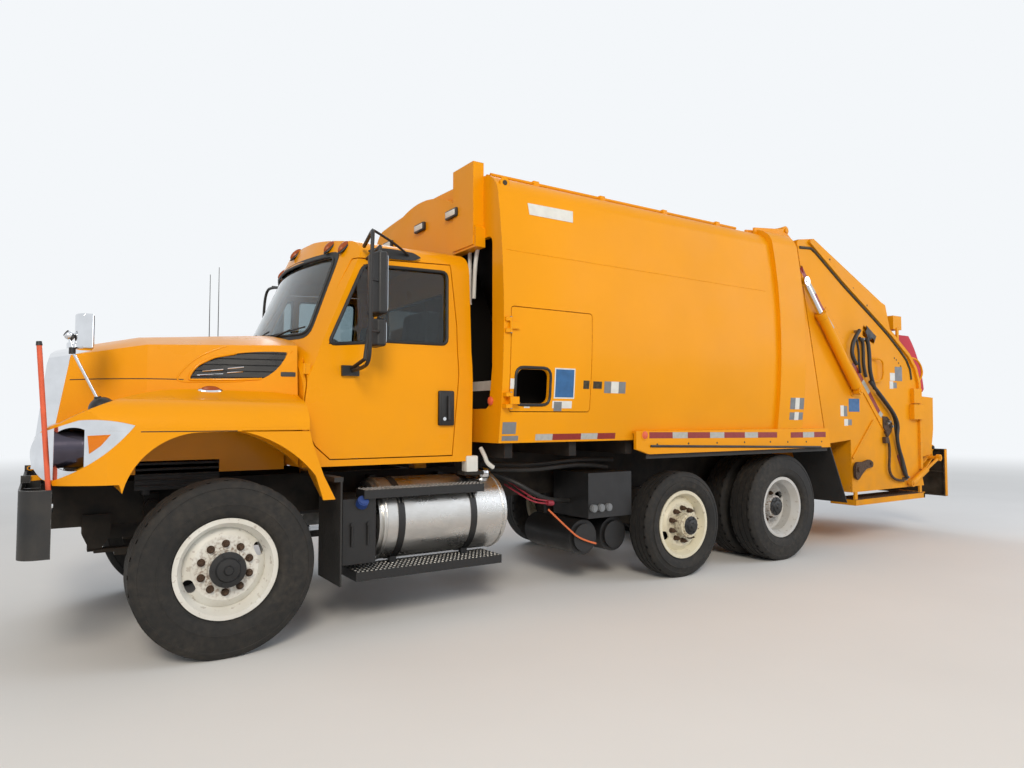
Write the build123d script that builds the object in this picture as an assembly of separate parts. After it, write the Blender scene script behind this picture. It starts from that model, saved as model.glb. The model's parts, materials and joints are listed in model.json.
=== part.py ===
from build123d import *
import math
import os

# Rear-loading garbage truck on a three-axle conventional cab chassis, in millimetres.
# X runs forward, Y to the driver's side (left), Z up. The wheels stand on Z = 0, and the
# origin lies under the middle of the truck. Stations along the truck are measured from
# the front axle with at(), so that moving an axle moves what belongs to it.

FRONT_REACH = 1030.0          # front axle to the bumper's face
REAR_REACH = 8450.0           # front axle to the back of the tipper plate
FRONT_AXLE_X = (REAR_REACH - FRONT_REACH) / 2


def at(distance):
    """Station along X of a place given from the front axle, forward positive."""
    return FRONT_AXLE_X + distance


# Axles and wheels
PUSHER_X = at(-3850)
DRIVE_X = PUSHER_X - 1390
RIM_RADIUS = 298.0
RIM_WIDTH = 225.0
BIG_TYRE_RADIUS = 522.0
BIG_TYRE_WIDTH = 284.0
PUSHER_TYRE_RADIUS = 465.0
PUSHER_TYRE_WIDTH = 256.0
DUAL_SPACING = 330.0
FRONT_WHEEL_Y = 1020.0
PUSHER_WHEEL_Y = 1015.0
DRIVE_WHEEL_Y = 1020.0        # centre of the outer tyre
KINGPIN_Y = 800.0
KINGPIN_RADIUS = 24.0
SPINDLE_RADIUS = 48.0
RUNNING_GAP = 0.5             # at pins, bores and spindles
SEATED = 0.3                  # between a piece and what carries it
HUB_RADIUS = 106.0
HAND_HOLE = (84.0, 52.0)      # oval holes of the wheel discs, along the rim and across
TRACK_ARM = (-200.0, -55.0)   # ball joint from the kingpin, along X and Y
TRACK_ROD_Z = 400.0

# Chassis frame
RAIL_OUTER_Y = 430.0
RAIL_HEIGHT = 270.0
RAIL_FLANGE = 80.0
RAIL_WEB = 12.0
RAIL_TOP_Z = 1010.0
RAIL_FRONT_X = at(930)
RAIL_REAR_X = at(-6050)
SUBFRAME_HEIGHT = 100.0
SILL_TOP_Z = RAIL_TOP_Z + SUBFRAME_HEIGHT

# Tow eyes under the bumper
TOW_EYE = (at(970), 640.0)
TOW_EYE_RADIUS = 22.0

# Fuel tank, steps and boxes along the frame
TANK_RADIUS = 288.0
TANK_Y = 764.0
TANK_Z = 695.0
TANK_FRONT_X = at(-1005)
TANK_REAR_X = at(-2039)
TANK_STRAPS = (at(-1160), at(-1735))
STRAP_THICK = 5.0
STRAP_WIDTH = 50.0
TOP_STEP = (at(-1800), at(-870), 925.0, 1085.0, 872.0, 930.0)
LOW_STEP = (at(-1950), at(-815), 800.0, 1090.0, 335.0, 395.0)
AIR_TANK_X = (at(-2880), at(-3210))
AIR_TANK_Z = 410.0
AIR_TANK_RADIUS = 145.0

# Load body
BODY_FRONT_X = at(-1866)
BODY_FLOOR_Z = 1225.0
BODY_WALL = 30.0
BODY_HALF_WIDTH = 1225.0
BODY_ROOF_Z = 3320.0
BODY_REAR_TOP_X = at(-5485)
BODY_REAR_BOTTOM_X = at(-5935)
BODY_REAR_TOP_Z = 3200.0
BODY_REAR_BOTTOM_Z = 1135.0
HOOP_FRONT_X = at(-5060)
HOOP_REAR_X = at(-5450)
HOOP_DEPTH = 34.0
HEADBOARD_DEPTH = 86.0

# Access door in the left wall: rear, front, low and high edges, then its hinge
ACCESS_DOOR = (at(-2705), at(-1928), 1455.0, 2240.0)
ACCESS_WINDOW = (at(-2290), at(-1993), 1521.0, 1777.0)
ACCESS_HINGE = (at(-1922), BODY_HALF_WIDTH + 37.0)
ACCESS_HINGE_Z = (1540.0, 2095.0)

# Tailgate
GATE_HALF_WIDTH = BODY_HALF_WIDTH - 53.0
GATE_PLATE = 20.0
GATE_PIN_X = at(-5530)
GATE_PIN_Z = 3370.0
GATE_PIN_RADIUS = 24.0
GATE_LUG_Y = 960.0
HOPPER_HALF_WIDTH = 1100.0
GATE_SIDE = (
    (at(-5500), 3200.0),
    (at(-5520), 3245.0),
    (at(-5790), 3288.0),
    (at(-7060), 2728.0),
    (at(-7140), 2705.0),
    (at(-7235), 2415.0),
    (at(-7320), 2360.0),
    (at(-7655), 2140.0),
    (at(-7835), 1915.0),
    (at(-7870), 1740.0),
    (at(-7855), 760.0),
    (at(-7900), 600.0),
    (at(-6400), 600.0),
    (at(-6390), 1170.0),
    (at(-5950), 1135.0),
)
GATE_RIM = (
    (at(-5700), 3252.0),
    (at(-5898), 3134.0),
    (at(-6274), 2905.0),
    (at(-6753), 2639.0),
    (at(-7235), 2369.0),
    (at(-7593), 2142.0),
    (at(-7740), 1990.0),
    (at(-7812), 1820.0),
    (at(-7826), 1640.0),
    (at(-7818), 800.0),
)
GATE_RIM_WIDTH = 46.0
GATE_RIM_DEPTH = 26.0
GATE_HOLE = (
    (at(-6681), 2440.0),
    (at(-6919), 2341.0),
    (at(-6878), 2237.0),
    (at(-6662), 2325.0),
)

# Packer: the slide runs down tracks at this slope, the blade hangs on its pivot
TRACK_SLOPE = 47.0
SLIDE_TRAVEL = 500.0
BLADE_PIVOT_X = at(-7200)
BLADE_PIVOT_Z = 2250.0
BLADE_REACH = 1100.0
SWEEP_CLEARANCE = 30.0

# Cart tipper
TIPPER_PIVOT = (at(-8365), 1035.0)
TIPPER_SHAFT_RADIUS = 22.0
TIPPER_HALF_WIDTH = 1180.0

# Lift cylinders
LIFT_ROD_PIN = (at(-5525), 2800.0)
LIFT_BARREL_PIN = (at(-6450), 1700.0)
LIFT_Y = GATE_HALF_WIDTH + 64.0
LIFT_BARREL_RADIUS = 52.0
LIFT_ROD_RADIUS = 30.0
LIFT_PIN_RADIUS = 20.0

# Cab
CAB_FRONT_X = at(-480)
CAB_REAR_X = at(-1750)
CAB_FLOOR_Z = 1090.0
CAB_HALF_WIDTH = 1000.0
CAB_ROOF_Z = 2750.0
CAB_WALL = 48.0
CAB_BELT_Z = 1900.0
WINDSCREEN_BOW = 240.4        # how far its corners lie behind its middle
WINDSCREEN_RADIUS = (CAB_HALF_WIDTH ** 2 + WINDSCREEN_BOW ** 2) / (2 * WINDSCREEN_BOW)
WINDSCREEN_RAKE = 24.8
WINDSCREEN_BASE = (at(-370), 1950.0)
DOOR_GAP = 8.0
DOOR_CUT_Y = (CAB_HALF_WIDTH - 120.0, CAB_HALF_WIDTH + 100.0)
DOOR_HINGE = (at(-486), CAB_HALF_WIDTH - 9.0)
DOOR_HINGE_RADIUS = 9.0
DOOR_HINGE_Z = ((1420, 1490), (1700, 1770))
GLASS = 6.0
GLASS_INSET = 16.0
COLUMN_TOP = (at(-905), 480.0, 1790.0)
STEERING_RADIUS = 225.0

# Hood
HOOD_REAR_X = at(-468)
HOOD_WALL = 22.0
HOOD_PIVOT_X = at(1000)
HOOD_PIVOT_Z = 1056.0
HOOD_PIN_RADIUS = 10.0
HOOD_EAR_Y = 500.0
HOOD_EAR_THICK = 20.0
HOOD_CUT_Z = 1050.0           # lower edge of the hood's sides
TAIL_SEAM_Z = 1335.0          # the fender's tail below this stays with the cab
TAIL_GAP = 8.0

# Stations of the hood's middle: x, half-width low, z low, half-width at crease, z crease, crown
HOOD_STATIONS = (
    (at(990), 520.0, 1060.0, 470.0, 1745.0, 1815.0),
    (at(905), 545.0, 1060.0, 500.0, 1775.0, 1850.0),
    (at(400), 745.0, 1060.0, 690.0, 1868.0, 1965.0),
    (HOOD_REAR_X, 955.0, 1060.0, 885.0, 1893.0, 2030.0),
)

# Bright nose round the grille: its raked front and the line where the painted hood begins
NOSE_HALF_WIDTH = 540.0
NOSE_FRONT = (
    (at(986), 1100.0),
    (at(919), 1735.0),
    (at(901), 1809.0),
    (at(845), 1870.0),
)
NOSE_REAR = (
    (at(850), 1120.0),
    (at(845), 1380.0),
    (at(801), 1584.0),
    (at(700), 1740.0),
    (at(690), 1860.0),
)
NOSE_FOOT_Z = 1112.0
GRILLE_SLATS = 7
GRILLE_SLAT_HEIGHT = 24.0
GRILLE_SLAT_DEPTH = 44.0
VENT_SLATS = 4
LAMP_WALL = 40.0
MIRROR_FOOT = (at(648), 930.0, 1462.0)
MIRROR_FOOT_RADIUS = 72.0

os.makedirs("parts", exist_ok=True)
WRITTEN = []


def write(name, shape):
    """Write one sub-part as its own STEP file."""
    WRITTEN.append(name)
    solids = shape.solids()
    whole = solids[0] if len(solids) == 1 else Compound(children=list(solids))
    export_step(whole, f"parts/{name}.step")


def outline(*steps):
    """Face from a start point and steps: a point is a line, a pair of points an arc."""
    edges = []
    here = steps[0]
    for step in steps[1:]:
        if isinstance(step[0], tuple):
            edges.append(ThreePointArc(here, step[0], step[1]))
            here = step[1]
        else:
            edges.append(Line(here, step))
            here = step
    if here != steps[0]:
        edges.append(Line(here, steps[0]))
    return make_face(edges)


def side_prism(face, y_low, y_high):
    """Extrude a face drawn in (x, z) from y_low to y_high."""
    plane = Plane((0, y_low, 0), x_dir=(1, 0, 0), z_dir=(0, -1, 0))
    return extrude(plane * face, y_high - y_low, dir=(0, 1, 0))


def front_prism(face, x_low, x_high):
    """Extrude a face drawn in (y, z) from x_low to x_high."""
    plane = Plane((x_low, 0, 0), x_dir=(0, 1, 0), z_dir=(1, 0, 0))
    return extrude(plane * face, x_high - x_low, dir=(1, 0, 0))


def plan_prism(face, z_low, z_high):
    """Extrude a face drawn in (x, y) from z_low to z_high."""
    return extrude(Plane((0, 0, z_low)) * face, z_high - z_low, dir=(0, 0, 1))


def block(x_low, x_high, y_low, y_high, z_low, z_high):
    """Box between two corners."""
    size = (x_high - x_low, y_high - y_low, z_high - z_low)
    middle = ((x_low + x_high) / 2, (y_low + y_high) / 2, (z_low + z_high) / 2)
    return Pos(*middle) * Box(*size)


def rod_y(radius, x, z, y_low, y_high):
    """Cylinder along Y."""
    turned = Rot(90, 0, 0) * Cylinder(radius, y_high - y_low)
    return Pos(x, (y_low + y_high) / 2, z) * turned


def rod_x(radius, y, z, x_low, x_high):
    """Cylinder along X."""
    turned = Rot(0, 90, 0) * Cylinder(radius, x_high - x_low)
    return Pos((x_low + x_high) / 2, y, z) * turned


def rod_between(radius, start, end):
    """Cylinder between two points."""
    line = Line(start, end)
    return Pos(*(line @ 0.5)) * (Plane((0, 0, 0), z_dir=line % 0.5) * Cylinder(radius, line.length))


def ring(radius, hole, length):
    """Short tube along Z, centred on the origin."""
    return Cylinder(radius, length) - Cylinder(hole, length)


def mirror_y(shape):
    """The same shape on the other side of the truck."""
    return mirror(shape, about=Plane.XZ)


def both_sides(shape):
    """A shape and its mirror image."""
    return shape + mirror_y(shape)


def band(points, width):
    """Face of constant width along a line of points in a plane."""
    sides = ([], [])
    for index, (px, pz) in enumerate(points):
        before = points[max(index - 1, 0)]
        after = points[min(index + 1, len(points) - 1)]
        along = Vector(after[0] - before[0], after[1] - before[1]).normalized()
        for side, sign in zip(sides, (1, -1)):
            side.append((px - sign * along.Y * width / 2, pz + sign * along.X * width / 2))
    return make_face(Polyline(*sides[0], *reversed(sides[1]), close=True))


def rounded(face, radius):
    """The face with every corner rounded."""
    return fillet(face.vertices(), radius)


# Wheels

def revolved(face):
    """Turn a profile drawn as (radius, y) about the wheel's axle, which lies along Y."""
    return revolve(face, Axis.Y)


def tyre(radius, width):
    """Tyre about its own centre, axle along Y, outer side at +Y."""
    half = width / 2
    bead = RIM_RADIUS - 13.7
    seat = RIM_WIDTH / 2 - 15
    shoulder = radius - 16
    return revolved(outline(
        (bead, -seat),
        (RIM_RADIUS + 4, -seat - 2),
        ((bead + 90, -half - 2), (shoulder - 30, -half + 8)),
        (shoulder, -half + 24),
        (radius, -half + 46),
        (radius, half - 46),
        (shoulder, half - 24),
        (shoulder - 30, half - 8),
        ((bead + 90, half + 2), (RIM_RADIUS + 4, seat + 2)),
        (bead, seat),
    ))


def rim(dish, hub_out, bore):
    """Disc wheel about its own centre: rim barrel, disc at y = dish, and its hub."""
    half = RIM_WIDTH / 2
    seat = RIM_RADIUS - 14
    well = seat - 34
    disc = 12.0
    barrel = revolved(outline(
        (RIM_RADIUS, half),
        (RIM_RADIUS, half - 10),
        (seat, half - 14),
        (seat, half - 40),
        (well, half - 70),
        (well, -half + 60),
        (seat, -half + 36),
        (seat, -half + 14),
        (RIM_RADIUS, -half + 10),
        (RIM_RADIUS, -half),
        (seat - 14, -half),
        (well - 12, -half + 60),
        (well - 12, half - 70),
        (seat - 14, half),
    ))
    bowl = 46.0 if dish > 0 else -46.0
    plate = revolved(outline(
        (bore, dish),
        (190, dish),
        (well - 6, dish - bowl),
        (well - 6, dish - bowl - disc),
        (186, dish - disc),
        (bore, dish - disc),
    ))
    for angle in (25, 205):
        oval = Pos(0, dish - 90, 0) * (Plane.XZ * Rot(0, 0, 90) * SlotOverall(*HAND_HOLE))
        hand_hole = extrude(oval, 180, dir=(0, 1, 0))
        plate -= Rot(0, angle, 0) * Pos(214, 0, 0) * hand_hole
    hub = Pos(0, dish + hub_out / 2, 0) * Rot(90, 0, 0) * ring(HUB_RADIUS, bore, hub_out)
    cap = Pos(0, dish + hub_out + 6, 0) * Rot(90, 0, 0) * Cylinder(HUB_RADIUS - 18, 12)
    back = Pos(0, dish - disc - 30, 0) * Rot(90, 0, 0) * ring(HUB_RADIUS, bore, 60)
    return barrel + plate + hub + cap + back


def wheels():
    """Six wheel positions, each a rim node and a tyre node."""
    # name, x, y, tyre radius, tyre width, disc place along the axle, hub stand-out
    table = (
        ("front", FRONT_AXLE_X, FRONT_WHEEL_Y, BIG_TYRE_RADIUS, BIG_TYRE_WIDTH, 66.0, 60.0),
        ("pusher", PUSHER_X, PUSHER_WHEEL_Y, PUSHER_TYRE_RADIUS, PUSHER_TYRE_WIDTH, 84.0, 96.0),
    )
    for name, x, y, radius, width, dish, hub_out in table:
        rolling = Pos(x, y, radius) * tyre(radius, width)
        disc = Pos(x, y, radius) * rim(dish, hub_out, SPINDLE_RADIUS + RUNNING_GAP)
        write(f"{name}_tyre_left", rolling)
        write(f"{name}_tyre_right", mirror_y(rolling))
        write(f"{name}_rim_left", disc)
        write(f"{name}_rim_right", mirror_y(disc))
    pair = Pos(DRIVE_X, DRIVE_WHEEL_Y, BIG_TYRE_RADIUS)
    inner = Pos(0, -DUAL_SPACING, 0)
    tyres = pair * (tyre(BIG_TYRE_RADIUS, BIG_TYRE_WIDTH)
                    + inner * tyre(BIG_TYRE_RADIUS, BIG_TYRE_WIDTH))
    bore = SPINDLE_RADIUS + RUNNING_GAP
    outer_rim = rim(-90.0, 120.0, bore)
    inner_rim = inner * drive_inner_rim(bore)
    discs = pair * (outer_rim + inner_rim)
    write("drive_tyres_left", tyres)
    write("drive_tyres_right", mirror_y(tyres))
    write("drive_rims_left", discs)
    write("drive_rims_right", mirror_y(discs))


def drive_inner_rim(bore):
    """Inner rim of the twin pair, dished towards the outer one so that the discs meet."""
    half = RIM_WIDTH / 2
    seat = RIM_RADIUS - 14
    well = seat - 34
    meet = DUAL_SPACING - 90.0 - 12.0
    return revolved(outline(
        (RIM_RADIUS, half),
        (RIM_RADIUS, half - 10),
        (seat, half - 14),
        (seat, half - 40),
        (well, half - 70),
        (well, -half + 60),
        (seat, -half + 36),
        (seat, -half + 14),
        (RIM_RADIUS, -half + 10),
        (RIM_RADIUS, -half),
        (seat - 14, -half),
        (well - 12, -half + 60),
        (well - 12, 0),
        (190, meet - 12),
        (bore, meet - 12),
        (bore, meet),
        (194, meet),
        (well - 12, 14),
        (well - 12, half - 70),
        (seat - 14, half),
    ))


# Axles and steering

def front_axle():
    """Dropped I-beam between the kingpins, with the eyes that carry the knuckles."""
    height = BIG_TYRE_RADIUS
    beam = front_prism(outline(
        (-KINGPIN_Y + 40, height - 50),
        (-560, height - 70),
        (-430, height - 130),
        (430, height - 130),
        (560, height - 70),
        (KINGPIN_Y - 40, height - 50),
        (KINGPIN_Y - 40, height + 50),
        (560, height + 40),
        (430, height - 20),
        (-430, height - 20),
        (-560, height + 40),
        (-KINGPIN_Y + 40, height + 50),
    ), FRONT_AXLE_X - 55, FRONT_AXLE_X + 55)
    flute = front_prism(outline(
        (-540, height - 44),
        (-425, height - 100),
        (425, height - 100),
        (540, height - 44),
        (540, height + 12),
        (425, height - 48),
        (-425, height - 48),
        (-540, height + 12),
    ), FRONT_AXLE_X + 12, FRONT_AXLE_X + 60)
    beam = beam - flute - mirror(flute, about=Plane((FRONT_AXLE_X, 0, 0), z_dir=(1, 0, 0)))
    eye = Pos(FRONT_AXLE_X, KINGPIN_Y, height) * Cylinder(52, 120)
    bore = Pos(FRONT_AXLE_X, KINGPIN_Y, height) * Cylinder(KINGPIN_RADIUS + RUNNING_GAP, 130)
    return beam + both_sides(eye) - both_sides(bore)


def knuckle():
    """Left knuckle: fork round the axle eye, kingpin, spindle and rearward track arm."""
    height = BIG_TYRE_RADIUS
    place = Pos(FRONT_AXLE_X, KINGPIN_Y, height)
    ears = Pos(0, 0, 88) * Cylinder(50, 44) + Pos(0, 0, -88) * Cylinder(50, 44)
    pin = Cylinder(KINGPIN_RADIUS, 176)
    back = block(-48, 48, 58, 84, -110, 110)
    web = block(-40, 40, 10, 60, 70, 108) + block(-40, 40, 10, 60, -108, -70)
    spindle_end = FRONT_WHEEL_Y - KINGPIN_Y + 100
    spindle = rod_y(SPINDLE_RADIUS, 0, 0, 80, spindle_end)
    drop = TRACK_ROD_Z - height
    arm = rod_between(22, (0, 0, -96), (TRACK_ARM[0], TRACK_ARM[1], drop))
    ball = Pos(TRACK_ARM[0], TRACK_ARM[1], drop) * Cylinder(30, 60)
    return place * (ears + pin + back + web + spindle + arm + ball)


def track_rod():
    """Rod across the truck between the two knuckle arms, hung under their ball joints."""
    end_y = KINGPIN_Y + TRACK_ARM[1]
    x = FRONT_AXLE_X + TRACK_ARM[0]
    z = TRACK_ROD_Z - 30 - RUNNING_GAP - 25
    bar = rod_y(19, x, z, -end_y, end_y)
    sockets = both_sides(Pos(x, end_y, z) * Cylinder(30, 50))
    return bar + sockets


def rear_axles():
    """Pusher beam with its spindles, and the drive axle housing with its differential."""
    pusher_height = PUSHER_TYRE_RADIUS
    low = pusher_height - 10
    tip = PUSHER_WHEEL_Y + 100
    beam = block(PUSHER_X - 60, PUSHER_X + 60, -860, 860, low - 60, low + 60)
    stubs = both_sides(rod_y(SPINDLE_RADIUS, PUSHER_X, pusher_height, 860, tip))
    drums = both_sides(rod_y(200, PUSHER_X, pusher_height, 740, 880))
    pusher = beam + stubs + drums
    height = BIG_TYRE_RADIUS
    inner_side = DRIVE_WHEEL_Y - DUAL_SPACING - RIM_WIDTH / 2
    tube = rod_y(75, DRIVE_X, height, -inner_side, inner_side)
    bowl = Pos(DRIVE_X, 0, height) * Sphere(215)
    nose = rod_x(110, 0, height, DRIVE_X, DRIVE_X + 330)
    shaft = both_sides(rod_y(SPINDLE_RADIUS, DRIVE_X, height, 300, DRIVE_WHEEL_Y + 15))
    drum = both_sides(rod_y(205, DRIVE_X, height, inner_side - 100, inner_side + 30))
    return pusher + tube + bowl + nose + shaft + drum


def leaf_pack(x, z, length, leaves, thickness):
    """Stack of leaves, each shorter than the one above, in (x, z) about its saddle."""
    pack = None
    for index in range(leaves):
        half = length / 2 - index * length * 0.09
        leaf = block(x - half, x + half, -45, 45,
                     z - (index + 1) * thickness, z - index * thickness)
        pack = leaf if pack is None else pack + leaf
    return pack


def suspension():
    """Leaf springs over the front and drive axles, air springs over the pusher."""
    spring_y = RAIL_OUTER_Y - RAIL_FLANGE / 2
    front = Pos(0, spring_y, 0) * leaf_pack(FRONT_AXLE_X + 20, BIG_TYRE_RADIUS + 70, 1250, 3, 22)
    front += block(FRONT_AXLE_X - 50, FRONT_AXLE_X + 50, spring_y - 50, spring_y + 40,
                   BIG_TYRE_RADIUS - 20, BIG_TYRE_RADIUS + 6)
    for end in (-600, 640):
        front += block(FRONT_AXLE_X + end - 40, FRONT_AXLE_X + end + 40, spring_y - 40,
                       spring_y + 40, BIG_TYRE_RADIUS + 60, RAIL_TOP_Z - RAIL_HEIGHT)
    front += side_prism(outline(
        (at(555), 812),
        (at(712), 812),
        (at(712), 690),
        (at(672), 600),
        (at(606), 600),
        (at(555), 690),
    ), RAIL_OUTER_Y + SEATED, RAIL_OUTER_Y + 16)
    hanger_top = RAIL_TOP_Z - RAIL_HEIGHT - SEATED
    front += block(at(600), at(680), spring_y, RAIL_OUTER_Y + 16, 620, hanger_top)
    rear = Pos(0, spring_y, 0) * leaf_pack(DRIVE_X, BIG_TYRE_RADIUS + 190, 1180, 5, 22)
    rear += block(DRIVE_X - 60, DRIVE_X + 60, spring_y - 50, spring_y + 50,
                  BIG_TYRE_RADIUS + 50, BIG_TYRE_RADIUS + 90)
    rear -= rod_y(75, DRIVE_X, BIG_TYRE_RADIUS, 200, 600)
    for end in (-560, 560):
        rear += block(DRIVE_X + end - 35, DRIVE_X + end + 35, spring_y - 38, spring_y + 38,
                      BIG_TYRE_RADIUS + 180, RAIL_TOP_Z - RAIL_HEIGHT)
    bag_low = PUSHER_TYRE_RADIUS + 50
    bag_high = RAIL_TOP_Z - RAIL_HEIGHT
    bag = Pos(PUSHER_X - 30, spring_y, (bag_low + bag_high) / 2) * Cylinder(105, bag_high - bag_low)
    return both_sides(front + rear + bag)


# Chassis

def chassis_frame():
    """Two channel rails, their crossmembers, and the body sills that lie on the rails."""
    web = RAIL_WEB
    low = RAIL_TOP_Z - RAIL_HEIGHT
    inner = RAIL_OUTER_Y - RAIL_FLANGE
    rail = front_prism(outline(
        (RAIL_OUTER_Y, low),
        (RAIL_OUTER_Y, RAIL_TOP_Z),
        (inner, RAIL_TOP_Z),
        (inner, RAIL_TOP_Z - web),
        (RAIL_OUTER_Y - web, RAIL_TOP_Z - web),
        (RAIL_OUTER_Y - web, low + web),
        (inner, low + web),
        (inner, low),
    ), RAIL_REAR_X, RAIL_FRONT_X)
    frame = both_sides(rail)
    reach = RAIL_OUTER_Y - web
    for place in (880, -1650, -2900, -3350, -4550, -5900):
        frame += block(at(place) - 30, at(place) + 30, -reach, reach, low + 140, RAIL_TOP_Z - 20)
    sill = block(RAIL_REAR_X + 150, BODY_FRONT_X - 40, inner + 5, RAIL_OUTER_Y, RAIL_TOP_Z, SILL_TOP_Z)
    frame += both_sides(sill)
    gear = rod_y(44, at(334), 847, RAIL_OUTER_Y, RAIL_OUTER_Y + 66)
    gear += rod_y(30, at(334), 847, RAIL_OUTER_Y, RAIL_OUTER_Y + 78)
    gear += block(at(290), at(378), RAIL_OUTER_Y, RAIL_OUTER_Y + 30, 780, 930)
    return frame + gear


def body_crossbars():
    """Seven bars across the sills, which carry the load body's floor."""
    bars = block(at(-1990) - 35, at(-1990) + 35, -1120, 1120, SILL_TOP_Z, BODY_FLOOR_Z)
    for place in (-2600, -3200, -3850, -4500, -4980, -5800):
        bars += block(at(place) - 35, at(place) + 35, -1120, 1120, SILL_TOP_Z, BODY_FLOOR_Z)
    return bars


def front_bumper():
    """Channel bumper with returned ends, and the two brackets that hold it to the rails."""
    face_x = at(FRONT_REACH)
    depth = 150.0
    half = 1120.0
    low, high = 672.0, 1034.0
    shape = outline(
        (face_x, -half + 90),
        (face_x, half - 90),
        ((face_x - 26, half - 26), (face_x - 90, half)),
        (face_x - depth, half),
        (face_x - depth, half - 10),
        (face_x - 90, half - 10),
        ((face_x - 33, half - 33), (face_x - 10, half - 90)),
        (face_x - 10, -half + 90),
        ((face_x - 33, -half + 33), (face_x - 90, -half + 10)),
        (face_x - depth, -half + 10),
        (face_x - depth, -half),
        (face_x - 90, -half),
        ((face_x - 26, -half + 26), (face_x, -half + 90)),
    )
    bar = plan_prism(shape, low, high)
    bracket = block(RAIL_FRONT_X, face_x - 10, RAIL_OUTER_Y - 40, RAIL_OUTER_Y, 760, 990)
    hinge_low = HOOD_EAR_Y + HOOD_EAR_THICK + 4
    lug = block(HOOD_PIVOT_X - 18, face_x, hinge_low, hinge_low + 16, high, HOOD_PIVOT_Z + 20)
    pin = rod_y(HOOD_PIN_RADIUS, HOOD_PIVOT_X, HOOD_PIVOT_Z, HOOD_EAR_Y, hinge_low)
    eye = side_prism(outline(
        (RAIL_FRONT_X, 800),
        (RAIL_FRONT_X, TOW_EYE[1] + 10),
        ((TOW_EYE[0], TOW_EYE[1] - 40), (TOW_EYE[0] + 40, TOW_EYE[1])),
        (TOW_EYE[0] + 40, 800),
    ), RAIL_OUTER_Y - 40, RAIL_OUTER_Y - 10)
    eye -= rod_y(TOW_EYE_RADIUS, *TOW_EYE, 300, 500)
    return bar + both_sides(bracket + lug + pin + eye)


def engine_and_gearbox():
    """Engine block, radiator pack, gearbox and the shaft back to the drive axle."""
    engine = block(at(-250), at(640), -300, 300, 700, 1480)
    sump = block(at(-150), at(-90), -200, 200, 640, 700) + block(at(100), at(560), -200, 200, 620, 700)
    radiator = block(at(720), at(800), -335, 335, 800, 1015) + block(at(720), at(800), -400, 400, 1015, 1690)
    feet = both_sides(block(at(150), at(230), 300, RAIL_OUTER_Y - RAIL_WEB, 850, 900))
    mounts = block(at(640), at(720), -60, 60, 1080, 1200)
    bell = rod_x(250, 0, 880, at(-450), at(-250))
    gearbox = rod_x(190, 0, 850, at(-1150), at(-450))
    start = (at(-1150), 0, 820)
    joint = (at(-3100), 0, 800)
    shaft = rod_between(50, start, joint) + rod_between(50, joint, (DRIVE_X + 350, 0, BIG_TYRE_RADIUS + 14))
    return engine + sump + radiator + feet + mounts + bell + gearbox + shaft + Pos(*joint) * Sphere(75)


def fuel_tank():
    """Polished tank with dished ends, its bead ring and its filler neck."""
    dish = 26.0
    tank = rod_x(TANK_RADIUS, TANK_Y, TANK_Z, TANK_REAR_X + dish, TANK_FRONT_X - dish)
    ends = rod_x(TANK_RADIUS - 22, TANK_Y, TANK_Z, TANK_REAR_X, TANK_FRONT_X)
    neck = Pos(at(-1930), TANK_Y + 90, TANK_Z + TANK_RADIUS) * Cylinder(42, 50)
    return tank + ends + neck


def tank_room(gap):
    """Room kept free round the fuel tank."""
    return rod_x(TANK_RADIUS + gap, TANK_Y, TANK_Z, TANK_REAR_X - 50, TANK_FRONT_X + 50)


def side_boxes():
    """Straps, steps and tread plates of both sides, urea and battery boxes, air tanks."""
    parts = block(*TOP_STEP) - tank_room(STRAP_THICK + 8) + block(*LOW_STEP)
    low_top = LOW_STEP[5]
    half = STRAP_WIDTH / 2
    strap = TANK_RADIUS + STRAP_THICK
    for x in TANK_STRAPS:
        ring_band = Pos(x, TANK_Y, TANK_Z) * Rot(0, 90, 0) * ring(strap, TANK_RADIUS, STRAP_WIDTH)
        links = block(x - half, x + half, RAIL_OUTER_Y, TANK_Y - TANK_RADIUS + 40, 640, 980)
        links += block(x - half, x + half, 860, 900, low_top, 470)
        links += block(x - half, x + half, 900, 1000, 850, 885)
        parts += ring_band + (links - tank_room(0))
    left_box = block(at(-970), at(-738), 560, 1040, 440, TOP_STEP[4])
    left_box += block(at(-930), at(-780), RAIL_OUTER_Y, 560, 780, 860)
    cap = Pos(at(-868), 1052, 849) * Rot(90, 0, 0) * Cylinder(21, 26)
    valve_box = block(at(-3340), at(-2860), 520, 1000, 575, 950)
    valve_box += block(at(-3050), at(-2950), RAIL_OUTER_Y, 520, 800, 900)
    tanks = None
    bracket_y = RAIL_OUTER_Y - 40
    for x in AIR_TANK_X:
        tank = rod_y(AIR_TANK_RADIUS, x, AIR_TANK_Z, 250, 900)
        tank += rod_y(AIR_TANK_RADIUS - 30, x, AIR_TANK_Z, 225, 930)
        tank += block(x - 20, x + 20, bracket_y - 20, bracket_y + 20,
                      AIR_TANK_Z + AIR_TANK_RADIUS - 15, RAIL_TOP_Z - RAIL_HEIGHT)
        tanks = tank if tanks is None else tanks + tank
    right_box = block(at(-2800), at(-2150), -1040, -470, 560, 980)
    right_box += block(at(-2500), at(-2400), -470, -RAIL_OUTER_Y, 780, 880)
    right_steps = mirror_y(block(*TOP_STEP) + block(*LOW_STEP))
    outer = TOP_STEP[3] - 15
    for x in TANK_STRAPS:
        right_steps += block(x - 20, x + 20, -outer, -outer + 20, low_top, TOP_STEP[5])
        right_steps += block(x - 20, x + 20, -outer, -RAIL_OUTER_Y, TOP_STEP[5], TOP_STEP[5] + 25)
    return parts + left_box + cap + valve_box + tanks + right_box + right_steps


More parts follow.
